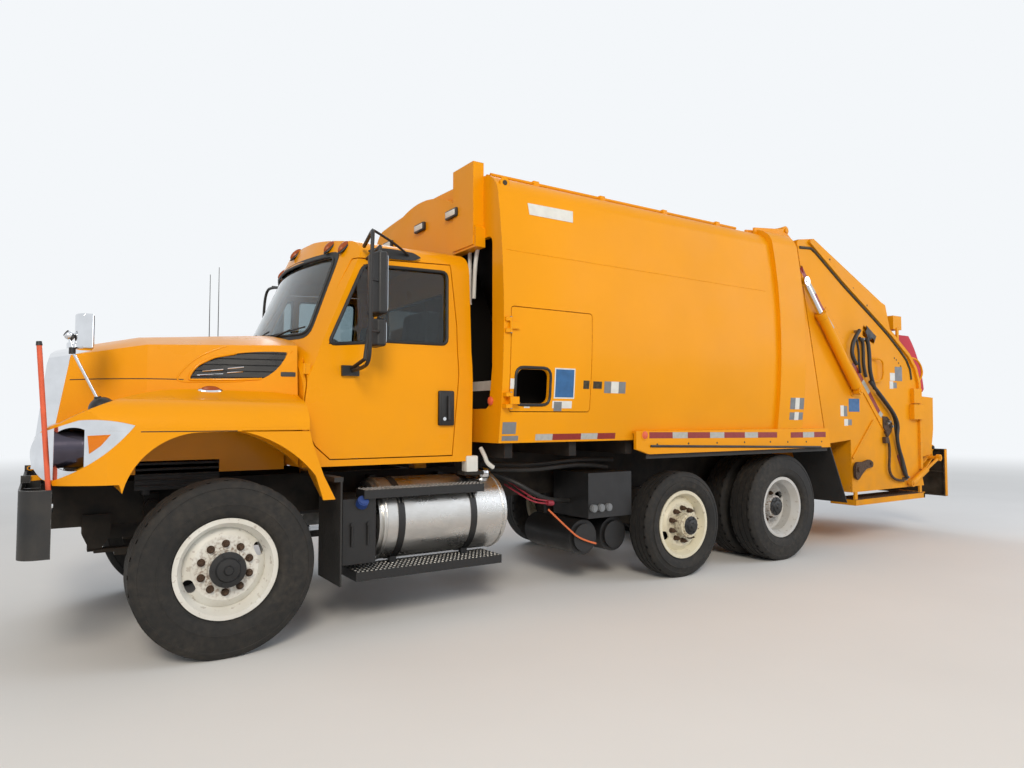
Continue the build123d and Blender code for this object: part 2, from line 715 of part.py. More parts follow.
def exhaust():
    """Exhaust treatment canister under the right step, with its pipes."""
    can = rod_x(235, -740, 690, at(-1980), at(-960))
    inlet = rod_between(42, (at(-720), -230, 690), (at(-975), -620, 690))
    outlet = rod_between(60, (at(-1980), -800, 600), (at(-2030), -1060, 470))
    hanger = block(at(-1500), at(-1440), -560, -RAIL_OUTER_Y, 760, 860)
    return can + inlet + outlet + hanger


def mudflaps():
    """Flaps behind the front wheels and behind the drive wheels, and the side aprons."""
    front = block(at(-694), at(-682), 720, 1150, 330, 1000)
    front += block(at(-700), at(-640), RAIL_OUTER_Y, 1150, 1000, 1030)
    rear = side_prism(outline(
        (at(-5986), 1110),
        (at(-6000), 1110),
        (at(-6290), 500),
        (at(-6276), 500),
    ), 700, 1180)
    rear += block(at(-6010), RAIL_REAR_X + 150, 380, 1160, 1085, 1110)
    apron = block(at(-5900), at(-3320), BODY_HALF_WIDTH - 29, BODY_HALF_WIDTH - 19, 1065, 1130)
    return both_sides(front + rear + apron)


# Load body

def body_section(grow=0.0):
    """Cross-section of the load body in (y, z), grown outwards by a distance."""
    half = BODY_HALF_WIDTH + grow
    top = BODY_ROOF_Z + grow
    low = (half - 50, BODY_FLOOR_Z - grow)
    waist = (half + 25, 2180)
    shoulder = (half - 60, top - 200)
    bend = (half - 118, top - 106)
    eave = (half - 250, top - 45)
    return outline(
        (-low[0], low[1]),
        low,
        (waist, shoulder),
        (bend, eave),
        ((0, top), (-eave[0], eave[1])),
        ((-bend[0], bend[1]), (-shoulder[0], shoulder[1])),
        ((-waist[0], waist[1]), (-low[0], low[1])),
    )


def behind_seal(set_back):
    """Everything behind the slanted rear face of the load body, set back by a distance."""
    slope = (BODY_REAR_BOTTOM_X - BODY_REAR_TOP_X) / (BODY_REAR_TOP_Z - BODY_REAR_BOTTOM_Z)
    top_z, low_z = 4200.0, 0.0
    top_x = BODY_REAR_TOP_X - slope * (top_z - BODY_REAR_TOP_Z) - set_back
    low_x = BODY_REAR_BOTTOM_X + slope * (BODY_REAR_BOTTOM_Z - low_z) - set_back
    far = at(-9500)
    return side_prism(outline((far, low_z), (low_x, low_z), (top_x, top_z), (far, top_z)), -1600, 1600)


def access_hinge_brackets():
    """Barrels on the body above and below each barrel of the access door."""
    outer = front_prism(body_section(-2), at(-3000), at(-1800))
    hx, hy = ACCESS_HINGE
    parts = None
    for z in ACCESS_HINGE_Z:
        for side in (-1, 1):
            low = z + side * (28 + SEATED + 14) - 14
            leaf = block(hx, hx + 46, BODY_HALF_WIDTH - 75, hy + 6, low, low + 28) - outer
            piece = leaf + Pos(hx, hy, low + 14) * Cylinder(10, 28)
            parts = piece if parts is None else parts + piece
    return parts


def access_panel(trim):
    """Prism through the left wall for the access door, trimmed all round."""
    x_low, x_high, z_low, z_high = ACCESS_DOOR
    face = outline(
        (x_low + trim, z_low + trim),
        (x_high - trim, z_low + trim),
        (x_high - trim, z_high - trim),
        (x_low + trim, z_high - trim),
    )
    return side_prism(rounded(face, 30 - trim), BODY_HALF_WIDTH - 125, BODY_HALF_WIDTH + 175)


def body_shell():
    """Hollow load body with curved sides, its rear hoop, side boxes and front opening."""
    rear = at(-6000)
    outer = front_prism(body_section(), rear, BODY_FRONT_X)
    inner = front_prism(body_section(-BODY_WALL), rear - 10, BODY_FRONT_X - 40)
    shell = outer - inner
    hoop = front_prism(body_section(HOOP_DEPTH), HOOP_REAR_X, HOOP_FRONT_X)
    hoop -= front_prism(body_section(-BODY_WALL / 2), HOOP_REAR_X - 10, HOOP_FRONT_X + 10)
    shell += hoop
    low_half = BODY_HALF_WIDTH - 185
    high_half = BODY_HALF_WIDTH - 135
    mouth = outline(
        (-low_half, 1480),
        (low_half, 1480),
        (high_half, 1800),
        (high_half, 2790),
        (-high_half, 2790),
        (-high_half, 1800),
    )
    shell -= front_prism(rounded(mouth, 60), BODY_FRONT_X - 60, BODY_FRONT_X + 60)
    skirt = side_prism(outline(
        (at(-3180), 1150),
        (at(-3330), 1105),
        (at(-5915), 1105),
        (at(-5880), 1300),
        (at(-3180), 1300),
    ), BODY_HALF_WIDTH - 75, BODY_HALF_WIDTH + 11)
    keep_out = side_prism(outline(
        (at(-3000), 1000),
        (at(-6100), 1000),
        (at(-6100), 1280),
        (at(-3000), 1280),
    ), BODY_HALF_WIDTH - 175, BODY_HALF_WIDTH - 19)
    skirt -= keep_out
    shell += both_sides(skirt - inner)
    side = BODY_HALF_WIDTH + 175
    shell -= both_sides(block(at(-6100), HOOP_REAR_X, GATE_HALF_WIDTH - BODY_WALL, side, 1300, 3400))
    wedge = side_prism(outline(
        (HOOP_REAR_X + 30, 1290),
        (at(-6000), 1290),
        (at(-6000), 3165),
        (HOOP_REAR_X + 30, 3165),
    ), GATE_HALF_WIDTH - BODY_WALL, GATE_HALF_WIDTH)
    shell += both_sides(wedge)
    shell -= behind_seal(0)
    shell -= access_panel(0)
    shell += access_hinge_brackets()
    for y in (-GATE_LUG_Y, GATE_LUG_Y):
        shell += gate_lug(y)
    boss = rod_y(40, *LIFT_ROD_PIN, GATE_HALF_WIDTH - 22, GATE_HALF_WIDTH + 14)
    return shell + both_sides(boss)


def gate_lug(y):
    """One pair of hinge ears on the hoop, bored for the tailgate's pin."""
    ears = None
    for offset_y in (-52, 52):
        ear = side_prism(outline(
            (HOOP_FRONT_X + 40, BODY_ROOF_Z - 60),
            (HOOP_REAR_X + 8, BODY_ROOF_Z - 90),
            (GATE_PIN_X + 10, GATE_PIN_Z - 90),
            (GATE_PIN_X - 46, GATE_PIN_Z - 10),
            ((GATE_PIN_X, GATE_PIN_Z + 48), (GATE_PIN_X + 46, GATE_PIN_Z + 10)),
            (HOOP_FRONT_X + 40, BODY_ROOF_Z + 10),
        ), y + offset_y - 10, y + offset_y + 10)
        ears = ear if ears is None else ears + ear
    inner = front_prism(body_section(-BODY_WALL / 2), HOOP_REAR_X - 200, HOOP_FRONT_X + 60)
    bore = rod_y(GATE_PIN_RADIUS + RUNNING_GAP, GATE_PIN_X, GATE_PIN_Z, y - 80, y + 80)
    return ears - inner - bore


def access_door():
    """Curved door in the left wall, with its rounded window."""
    skin = front_prism(body_section(), at(-3000), at(-1800))
    skin -= front_prism(body_section(-BODY_WALL), at(-3000), at(-1800))
    panel = skin & access_panel(6)
    x_low, x_high, z_low, z_high = ACCESS_WINDOW
    hole = outline((x_low, z_low), (x_high, z_low), (x_high, z_high), (x_low, z_high))
    panel -= side_prism(rounded(hole, 60), BODY_HALF_WIDTH - 125, BODY_HALF_WIDTH + 175)
    outer = front_prism(body_section(), at(-3000), at(-1800))
    hx, hy = ACCESS_HINGE
    for z in ACCESS_HINGE_Z:
        leaf = block(hx - 70, hx, BODY_HALF_WIDTH - 75, hy + 6, z - 28, z + 28) - outer
        panel += leaf + Pos(hx, hy, z) * Cylinder(10, 56)
    return panel


def headboard():
    """Arched canopy over the cab roof and the boxed post at its left end."""
    front_x = BODY_FRONT_X + HEADBOARD_DEPTH
    arch = outline(
        (-985, 2715),
        (985, 2715),
        (985, 2860),
        ((0, BODY_ROOF_Z - 30), (-985, 2860)),
    )
    canopy = front_prism(arch, BODY_FRONT_X, front_x)
    hollow = offset(arch, amount=-14, kind=Kind.INTERSECTION)
    canopy -= front_prism(hollow, BODY_FRONT_X - 10, front_x - 14)
    post = block(BODY_FRONT_X, front_x + 8, 640, 960, 2735, 3380)
    post -= block(BODY_FRONT_X - 10, front_x - 8, 654, 946, 2749, 3366)
    return canopy + post


def ejector_panel():
    """Slanted pushing plate with ribs behind it and guide shoes at its foot."""
    low = BODY_FLOOR_Z + BODY_WALL + SEATED
    foot_x = at(-2700)
    head_x = at(-2120)
    section = front_prism(body_section(-BODY_WALL - 28), at(-3200), at(-1960))
    plate = side_prism(outline(
        (foot_x, low),
        (foot_x - 60, low),
        (foot_x - 60, low + 320),
        (head_x - 60, 3160),
        (head_x, 3160),
        (foot_x, low + 350),
    ), -BODY_HALF_WIDTH - 75, BODY_HALF_WIDTH + 75)
    plate = plate & section
    for y in (-820, -300, 300, 820):
        plate += side_prism(outline(
            (foot_x, low + 20),
            (at(-2020), low + 20),
            (at(-2020), low + 160),
            (head_x - 2, 2900),
        ), y - 8, y + 8)
    plate += block(foot_x, at(-2020), -1000, 1000, low, low + 40)
    return plate


# Tailgate

def sweep_centre():
    """Blade pivot with the slide at the bottom of its tracks."""
    run = math.radians(TRACK_SLOPE)
    x = BLADE_PIVOT_X - SLIDE_TRAVEL * math.cos(run)
    z = BLADE_PIVOT_Z - SLIDE_TRAVEL * math.sin(run)
    return x, z


def hopper_floor():
    """Trough that follows the blade's sweep, then runs level into the load body."""
    centre_x, centre_z = sweep_centre()
    reach = BLADE_REACH + SWEEP_CLEARANCE
    thick = 24.0
    level = BODY_FLOOR_Z + BODY_WALL
    sill_x = at(-8250)

    def on_circle(x, radius):
        return (x, centre_z - math.sqrt(radius ** 2 - (x - centre_x) ** 2))

    meet_x = centre_x + math.sqrt(reach ** 2 - (centre_z - level) ** 2)
    under_x = centre_x + math.sqrt((reach + thick) ** 2 - (centre_z - level + thick) ** 2)
    sill = on_circle(sill_x, reach)
    sill_back = on_circle(sill_x - 20, reach + thick)
    return outline(
        sill,
        (on_circle(centre_x, reach), (meet_x, level)),
        (at(-5975), level),
        (at(-5975), level - thick),
        (under_x, level - thick),
        (on_circle(centre_x, reach + thick), sill_back),
        (sill_back[0], sill[1]),
    )


def tailgate():
    """Hopper and tailgate weldment: side plates, rims, roof, trough, sill and steps."""
    outer = GATE_HALF_WIDTH
    inner = outer - GATE_PLATE
    plate = side_prism(make_face(Polyline(*GATE_SIDE, close=True)), inner, outer)
    plate -= side_prism(make_face(Polyline(*GATE_HOLE, close=True)), inner - 5, outer + 5)
    plate += side_prism(band(GATE_RIM, GATE_RIM_WIDTH), outer, outer + GATE_RIM_DEPTH)
    wing_outer = HOPPER_HALF_WIDTH
    wing_inner = wing_outer - GATE_PLATE
    plate += side_prism(outline(
        (at(-7700), 880),
        (at(-8235), 960),
        (at(-8300), 1260),
        (at(-8310), 1655),
        (at(-8060), 1668),
        (at(-7700), 1600),
    ), wing_inner, wing_outer)
    jog_inner = min(wing_inner, inner)
    jog_outer = max(wing_outer, outer)
    plate += block(at(-7800), at(-7700), jog_inner, jog_outer, 700, 1660)
    for y_low, y_high in ((900, 916), (1040, 1056)):
        plate += tipper_arm(y_low, y_high)
    plate += gate_details(outer)
    gate = both_sides(plate)
    trough = hopper_floor()
    gate += side_prism(trough, -wing_outer, wing_outer)
    gate += side_prism(trough, -inner, inner) & block(at(-7750), at(-5975), -inner, inner, 600, 1400)
    gate += side_prism(outline(
        (at(-5520), 3243),
        (at(-5790), 3286),
        (at(-7060), 2726),
        (at(-7136), 2700),
        (at(-7136), 2664),
        (at(-5780), 3250),
        (at(-5525), 3208),
    ), -inner, inner)
    gate += block(at(-7136), at(-7040), -inner, inner, 2600, 2705)
    gate += block(at(-6420), at(-6396), -inner, inner, 600, BODY_FLOOR_Z)
    gate += side_prism(outline(
        (at(-6420), 600),
        (at(-7850), 600),
        (at(-8270), 900),
        (at(-8270), 1000),
        (at(-8250), 1000),
        (at(-8250), 912),
        (at(-7838), 622),
        (at(-6420), 622),
    ), -wing_outer, wing_outer)
    for y in (-GATE_LUG_Y, GATE_LUG_Y):
        lug = side_prism(outline(
            (GATE_PIN_X - 46, GATE_PIN_Z - 5),
            ((GATE_PIN_X, GATE_PIN_Z + 46), (GATE_PIN_X + 46, GATE_PIN_Z - 5)),
            (GATE_PIN_X + 8, 3236),
            (GATE_PIN_X - 200, 3262),
        ), y - 34, y + 34)
        pin = rod_y(GATE_PIN_RADIUS, GATE_PIN_X, GATE_PIN_Z, y - 74, y + 74)
        gate += lug + pin
    return gate


def tipper_arm(y_low, y_high):
    """Bracket plate under the sill that carries the tipper's shaft."""
    x, z = TIPPER_PIVOT
    arm = side_prism(outline(
        (at(-8262), 905),
        (at(-8262), 1002),
        (x + 20, z + 30),
        ((x - 34, z + 6), (x - 10, z - 34)),
    ), y_low, y_high)
    return arm - rod_y(TIPPER_SHAFT_RADIUS + RUNNING_GAP, x, z, y_low - 5, y_high + 5)


def gate_details(outer):
    """Track cover, lift pin, lamps, work light, lever, step and ribs of the left side."""
    run = math.radians(TRACK_SLOPE)
    top_x, top_z = at(-5930), 2539.0
    length = 1780.0
    half = 62.0
    along = (-math.cos(run), -math.sin(run))
    across = (math.sin(run), -math.cos(run))
    corners = []
    for step, side in ((0, 1), (0, -1), (length, -1), (length, 1)):
        corners.append((top_x + along[0] * step + across[0] * half * side,
                        top_z + along[1] * step + across[1] * half * side))
    cover = side_prism(outline(*corners), outer, outer + 10)
    bx, bz = LIFT_BARREL_PIN
    boss = rod_y(60, bx, bz, outer, outer + 8) + rod_y(LIFT_PIN_RADIUS, bx, bz, outer, LIFT_Y + 40)
    lamps = block(at(-7826), at(-7650), outer, outer + 40, 1576, 1752)
    lamps += block(at(-7852), at(-7615), outer, outer + 56, 1388, 1566)
    work_light = block(at(-7500), at(-7320), 1010, outer - 10, 2440, 2600)
    work_light += block(at(-7420), at(-7380), outer - 20, outer, 2280, 2460)
    step = block(at(-7900), at(-6450), 880, outer + 10, 455, 515)
    step += block(at(-6500), at(-6450), outer - 20, outer, 515, 640)
    step += block(at(-7850), at(-7800), outer - 20, outer, 515, 640)
    diagonal = side_prism(outline(
        (at(-6400), 980),
        (at(-6815), 1385),
        (at(-6835), 1365),
        (at(-6420), 960),
    ), outer, outer + 14)
    return cover + boss + lamps + work_light + step + diagonal + tipper_lever(outer)


def tipper_lever(outer):
    """Cylinder and rod low on the hopper's side, between an eye plate and the sill."""
    y = outer + 45
    eye = (at(-7540), y, 645)
    mouth = (at(-7870), y, 790)
    tip = (at(-8172), y, 922)
    lever = rod_between(34, eye, mouth) + rod_between(17, mouth, tip)
    for place in (eye, tip):
        lever += rod_y(40, place[0], place[2], y - 22, y + 22)
    lever += rod_y(20, eye[0], eye[2], outer - 5, y + 30)
    lever += rod_y(20, tip[0], tip[2], HOPPER_HALF_WIDTH - GATE_PLATE, y + 30)
    return lever


def packer_slide():
    """Carrier under the tailgate roof: panel, pivot tube and the shoes in the tracks."""
    inner = GATE_HALF_WIDTH - GATE_PLATE
    x, z = BLADE_PIVOT_X, BLADE_PIVOT_Z
    half = inner - 14
    panel = side_prism(outline(
        (x + 150, z + 90),
        (at(-6400), 2640),
        (at(-6370), 2580),
        (x + 150, z - 40),
    ), -half, half)
    ears = None
    for y in (-half + 20, -360, 360, half - 20):
        ear = rod_y(92, x, z, y - 18, y + 18)
        ear += side_prism(outline(
            (x, z + 80),
            (x + 170, z + 120),
            (x + 170, z - 40),
            (x, z - 90),
        ), y - 18, y + 18)
        ears = ear if ears is None else ears + ear
    shoe = Pos(x + 170, inner - SEATED - 12, z + 60) * Rot(0, -TRACK_SLOPE, 0) * Box(300, 24, 90)
    bore = rod_y(45 + RUNNING_GAP, x, z, -inner, inner)
    return panel + ears + both_sides(shoe) - bore


def packer_blade():
    """Curved sweep blade on its shaft, seen rear side out in the resting pose."""
    x, z = BLADE_PIVOT_X, BLADE_PIVOT_Z
    half = min(HOPPER_HALF_WIDTH, GATE_HALF_WIDTH) - GATE_PLATE - 16
    blade = side_prism(outline(
        (x - 110, z + 60),
        (x - 330, z + 150),
        (x - 640, z + 150),
        ((x - 850, z - 130), (x - 972, z - 490)),
        (x - 932, z - 528),
        ((x - 560, z - 210), (x - 130, z - 60)),
    ), -half, half)
    blade += rod_y(45, x, z, -half - 10, half + 10)
    knuckles = None
    for y in (-700, 0, 700):
        arm = side_prism(outline(
            (x + 10, z + 70),
            (x - 140, z + 90),
            (x - 180, z - 70),
            (x - 10, z - 70),
        ), y - 90, y + 90)
        arm += rod_y(70, x, z, y - 90, y + 90)
        knuckles = arm if knuckles is None else knuckles + arm
    return blade + knuckles


def cart_tipper():
    """Full-width tipper plate hanging behind the sill on its shaft."""
    x, z = TIPPER_PIVOT
    rear = at(-REAR_REACH)
    half = TIPPER_HALF_WIDTH
    plate = block(rear, rear + 14, -half, half, 440, 1020)
    plate += both_sides(block(rear, rear + 60, half - 16, half, 440, 1020))
    for low in (440, 730, 1006):
        plate += block(rear, rear + 46, -half + 16, half - 16, low, low + 14)
    shaft = rod_y(TIPPER_SHAFT_RADIUS, x, z, -1070, 1070)
    arms = None
    for y in (-978, 0, 978):
        arm = side_prism(outline(
            (rear + 10, 740),
            (x + 20, z - 30),
            ((x + 36, z), (x, z + 36)),
            (rear + 10, 1012),
        ), y - 20, y + 20)
        arms = arm if arms is None else arms + arm
    return plate + shaft + arms


def lift_cylinder():
    """Left tailgate cylinder: barrel on its pin, and the rod with the eye at its end."""
    bx, bz = LIFT_BARREL_PIN
    rx, rz = LIFT_ROD_PIN
    length = math.dist(LIFT_BARREL_PIN, LIFT_ROD_PIN)
    ux, uz = (rx - bx) / length, (rz - bz) / length

    def place(distance):
        return (bx + ux * distance, LIFT_Y, bz + uz * distance)

    mouth = length * 0.72
    barrel = rod_between(LIFT_BARREL_RADIUS, place(60), place(mouth))
    barrel += rod_between(LIFT_BARREL_RADIUS + 6, place(mouth - 60), place(mouth))
    barrel += rod_y(LIFT_PIN_RADIUS + 24, bx, bz, LIFT_Y - 34, LIFT_Y + 34)
    barrel += rod_between(30, place(20), place(80))
    barrel -= rod_between(LIFT_ROD_RADIUS + RUNNING_GAP, place(110), place(mouth + 10))
    barrel -= rod_y(LIFT_PIN_RADIUS + RUNNING_GAP, bx, bz, LIFT_Y - 60, LIFT_Y + 60)
    rod = rod_between(LIFT_ROD_RADIUS, place(140), place(length - 10))
    rod += rod_y(46, rx, rz, LIFT_Y - 32, LIFT_Y + 32)
    rod += rod_y(LIFT_PIN_RADIUS, rx, rz, LIFT_Y - 40, LIFT_Y + 40)
    return barrel, rod


# Cab

def cab_form(inset):
    """Cab as one closed form, drawn in by a distance: side, front and windscreen in common."""
    side = outline(
        (CAB_FRONT_X, CAB_FLOOR_Z),
        (CAB_FRONT_X, CAB_BELT_Z + 10),
        (WINDSCREEN_BASE[0] + 30, CAB_BELT_Z + 30),
        (at(-690), CAB_ROOF_Z - 20),
        ((at(-1180), CAB_ROOF_Z + 10), (CAB_REAR_X + 25, CAB_ROOF_Z - 30)),
        (CAB_REAR_X, CAB_ROOF_Z - 120),
        (CAB_REAR_X, CAB_FLOOR_Z),
    )
    half = CAB_HALF_WIDTH
    front = outline(
        (half - 14, CAB_FLOOR_Z),
        (half, 1640),
        ((half - 6, 1780), (half - 22, CAB_BELT_Z)),
        (half - 56, 2500),
        ((half - 110, 2620), (half - 240, 2672)),
        ((0, CAB_ROOF_Z), (-half + 240, 2672)),
        ((-half + 110, 2620), (-half + 56, 2500)),
        (-half + 22, CAB_BELT_Z),
        ((-half + 6, 1780), (-half, 1640)),
        (-half + 14, CAB_FLOOR_Z),
    )
    if inset > 0:
        side = offset(side, amount=-inset, kind=Kind.INTERSECTION)
        front = offset(front, amount=-inset, kind=Kind.INTERSECTION)
    rake = math.radians(WINDSCREEN_RAKE)
    base_x, base_z = WINDSCREEN_BASE
    drum = Pos(base_x - WINDSCREEN_RADIUS * math.cos(rake), 0,
               base_z - WINDSCREEN_RADIUS * math.sin(rake))
    bow = drum * Rot(0, -WINDSCREEN_RAKE, 0) * Cylinder(WINDSCREEN_RADIUS - inset, 4000)
    form = side_prism(side, -1200, 1200) & front_prism(front, at(-2000), at(0))
    return form & bow


def door_face(trim):
    """Outline of the door opening in (x, z), trimmed all round."""
    face = outline(
        (at(-664), 1132),
        (at(-560), 1225),
        ((at(-512), 1330), (at(-492), 1600)),
        (at(-508), 1868),
        (at(-838), 2522),
        (at(-1592), 2560),
        (at(-1634), 2100),
        (at(-1636), 1740),
        (at(-1588), 1132),
    )
    return offset(face, amount=-trim, kind=Kind.INTERSECTION) if trim else face


def door_windows(trim):
    """Main and vent window openings of a door in (x, z)."""
    main = outline(
        (at(-1010), 1948),
        (at(-1545), 1952),
        (at(-1560), 2495),
        (at(-1010), 2480),
    )
    vent = outline(
        (at(-650), 1905),
        (at(-960), 1935),
        (at(-960), 2478),
        (at(-905), 2475),
    )
    main = rounded(main, 40)
    if trim:
        main = offset(main, amount=-trim)
        vent = offset(vent, amount=-trim, kind=Kind.INTERSECTION)
    return main, vent


def windscreen_face(trim):
    """Windscreen opening in (y, z)."""
    face = outline((-815, 1985), (815, 1985), (715, 2570), (-715, 2570))
    face = rounded(face, 60)
    return offset(face, amount=-trim) if trim else face


def rear_window_face(trim):
    """Rear window opening in (y, z)."""
    face = rounded(outline((-620, 1960), (620, 1960), (600, 2400), (-600, 2400)), 50)
    return offset(face, amount=-trim) if trim else face


def fender_tail():
    """Lower rear corner of the left fender, which stays with the cab when the hood tilts."""
    tail = fender_form(0) - fender_form(HOOD_WALL) - arch_cut()
    high = TAIL_SEAM_Z - TAIL_GAP / 2
    tail = tail & block(at(-700), at(-60), CAB_HALF_WIDTH - 50, CAB_HALF_WIDTH + 250, 800, high)
    return tail - cab_form(CAB_WALL)


def cab_shell():
    """Hollow cab with its door openings, windows and the tails of the hood's fenders."""
    shell = cab_form(0) - cab_form(CAB_WALL)
    shell += both_sides(fender_tail())
    shell -= both_sides(side_prism(door_face(0), *DOOR_CUT_Y))
    shell -= front_prism(windscreen_face(0), at(-900), at(-300))
    shell -= front_prism(rear_window_face(0), CAB_REAR_X - 20, CAB_REAR_X + 80)
    hx, hy = DOOR_HINGE
    for z_low, z_high in DOOR_HINGE_Z:
        low, high = z_low - SEATED, z_high + SEATED
        radius = DOOR_HINGE_RADIUS + SEATED
        bore = Pos(hx, hy, (low + high) / 2) * Cylinder(radius, high - low)
        slot = block(hx - 30, hx + 14, hy, hy + 30, low, high)
        slot += block(hx - 30, hx, hy - radius, hy, low, high)
        shell -= both_sides(bore + slot)
    mount = block(at(-1650), at(-1550), 330, 430, RAIL_TOP_Z, CAB_FLOOR_Z)
    mount += block(at(-760), at(-660), 330, 430, RAIL_TOP_Z, CAB_FLOOR_Z)
    return shell + both_sides(mount)


def cab_glass():
    """Windscreen and rear window, set into the cab's wall."""
    sheet = cab_form(GLASS_INSET) - cab_form(GLASS_INSET + GLASS)
    screen = sheet & front_prism(windscreen_face(1.0), at(-900), at(-300))
    back = sheet & front_prism(rear_window_face(1.0), CAB_REAR_X - 20, CAB_REAR_X + 80)
    return screen + back


def door():
    """Left door with window openings, its pull handle recess and its hinge edge."""
    skin = cab_form(0) - cab_form(CAB_WALL)
    panel = skin & side_prism(door_face(DOOR_GAP), *DOOR_CUT_Y)
    for window in door_windows(0):
        panel -= side_prism(window, *DOOR_CUT_Y)
    handle = block(at(-1580), at(-1465), CAB_HALF_WIDTH - 4, CAB_HALF_WIDTH + 14, 1365, 1600)
    hx, hy = DOOR_HINGE
    for z_low, z_high in DOOR_HINGE_Z:
        barrel = Pos(hx, hy, (z_low + z_high) / 2) * Cylinder(DOOR_HINGE_RADIUS, z_high - z_low)
        web = block(hx - 40, hx, hy - DOOR_HINGE_RADIUS, hy, z_low, z_high)
        panel += barrel + web
    return panel + handle


def door_glass():
    """Main and vent panes of the left door."""
    sheet = cab_form(GLASS_INSET) - cab_form(GLASS_INSET + GLASS)
    panes = None
    for window in door_windows(1.0):
        pane = sheet & side_prism(window, *DOOR_CUT_Y)
        panes = pane if panes is None else panes + pane
    return panes


def mirror_set():
    """Left mirrors: tube frame from the door, tall main mirror and convex one below."""
    y = CAB_HALF_WIDTH + 170
    low = (at(-790), CAB_HALF_WIDTH - 6, 1735)
    knee = (at(-830), y, 1800)
    top = (at(-930), y, 2560)
    inner = (at(-930), CAB_HALF_WIDTH - 56, 2520)
    frame = rod_between(13, low, knee) + rod_between(13, knee, top) + rod_between(13, top, inner)
    frame += Pos(*knee) * Sphere(14) + Pos(*top) * Sphere(14)
    foot = block(at(-850), at(-730), CAB_HALF_WIDTH - 10, CAB_HALF_WIDTH + 24, 1695, 1765)
    head = mirror_head(y, (-60, 150), 2090, 2500)
    lower = mirror_head(y, (-40, 130), 1880, 2060)
    return frame + foot + head + lower - cab_form(0)


def mirror_head(y, reach, z_low, z_high):
    """Housing with a bulged front and soft edges; its flat glass side looks back."""
    inner, outer = y + reach[0], y + reach[1]
    face = outline(
        (at(-930), inner),
        (at(-872), inner),
        ((at(-842), y + 30), (at(-868), outer - 8)),
        (at(-930), outer),
    )
    head = plan_prism(rounded(face, 22), z_low, z_high)
    ends = head.faces().sort_by(Axis.Z)
    return fillet(ends[0].edges() + ends[-1].edges(), 16)


def cab_interior():
    """Two seats, the dashboard and the steering column."""
    seats = None
    for y in (-480, 480):
        base = block(at(-1560), at(-1080), y - 240, y + 240, CAB_FLOOR_Z + CAB_WALL, 1560)
        back = side_prism(outline(
            (at(-1560), 1560),
            (at(-1440), 1560),
            (at(-1520), 2250),
            (at(-1640), 2250),
        ), y - 230, y + 230)
        seat = base + back
        seats = seat if seats is None else seats + seat
    dash = side_prism(outline(
        (CAB_FRONT_X - CAB_WALL, 1480),
        (at(-760), 1560),
        (at(-740), 1860),
        (at(-640), 1900),
        (CAB_FRONT_X - CAB_WALL, 1870),
    ), -720, 720)
    column = rod_between(34, (at(-700), 480, 1650), COLUMN_TOP)
    return seats + dash + column


def steering_wheel():
    """Rim, hub and three spokes, square to the column."""
    start = Vector(at(-700), 480, 1650)
    lean = (Vector(*COLUMN_TOP) - start).normalized()
    seat = Vector(*COLUMN_TOP) + lean * 1.0
    wheel = Torus(STEERING_RADIUS, 15)
    wheel += Pos(0, 0, -12) * Cylinder(48, 36)
    for angle in (90, 210, 330):
        spoke = Pos(STEERING_RADIUS / 2, 0, -4) * Box(STEERING_RADIUS, 34, 12)
        wheel += Rot(0, 0, angle) * spoke
    return Plane(seat + lean * 30, x_dir=(0, 1, 0), z_dir=lean) * wheel


# Hood

def hood_middle(inset, reach):
    """Lofted middle of the hood drawn in by a distance; reach lengthens it to open its ends."""
    sections = []
    for x, low_half, low_z, crease_half, crease_z, crown_z in HOOD_STATIONS:
        shift = 0.0
        if x == HOOD_STATIONS[0][0]:
            shift = -inset
        if x == HOOD_REAR_X:
            shift = -reach
        drop = low_z - reach
        plane = Plane((x + shift, 0, 0), x_dir=(0, 1, 0), z_dir=(1, 0, 0))
        face = outline(
            (-low_half + inset, drop),
            (low_half - inset, drop),
            (crease_half - inset, crease_z - inset * 0.6),
            ((0, crown_z - inset), (-crease_half + inset, crease_z - inset * 0.6)),
        )
        sections.append(plane * face)
    return loft(sections, ruled=True)


def fender_form(inset):
    """Left fender as one closed form: side, front and plan outlines in common."""
    side = outline(
        (at(880), 1054),
        ((at(985), 1200), (at(850), 1385)),
        ((at(500), 1545), (at(110), 1590)),
        (HOOD_REAR_X, 1580),
        (HOOD_REAR_X, 1330),
        (at(-497), 1225),
        (at(-560), 1050),
        (at(-636), 900),
        (at(-636), 600),
        (at(880), 600),
    )
    front = outline(
        (500, 500),
        (1180, 500),
        (1180, 1340),
        ((1150, 1450), (1010, 1530)),
        ((880, 1580), (760, 1660)),
        (500, 1680),
    )
    plan = outline(
        (at(-700), 480),
        (at(-700), 1180),
        (at(420), 1180),
        ((at(780), 1120), (at(985), 860)),
        (at(985), 480),
    )
    if inset:
        side = offset(side, amount=-inset, kind=Kind.INTERSECTION)
        front = offset(front, amount=-inset, kind=Kind.INTERSECTION)
        plan = offset(plan, amount=-inset, kind=Kind.INTERSECTION)
    form = side_prism(side, 300, 1300) & front_prism(front, at(-900), at(1100))
    return form & plan_prism(plan, 500, 1800)


def arch_cut():
    """Wheel arch through the fender, and everything below the hood's lower edges."""
    face = outline(
        (at(560), 1000),
        ((at(430), 1225), (at(170), 1331)),
        (at(-60), 1335),
        ((at(-350), 1205), (at(-510), 1050)),
        (at(-560), 895),
        (at(-700), 895),
        (at(-700), 500),
        (at(1100), 500),
        (at(1100), HOOD_CUT_Z),
        (at(575), HOOD_CUT_Z),
    )
    return side_prism(face, -1300, 1300)


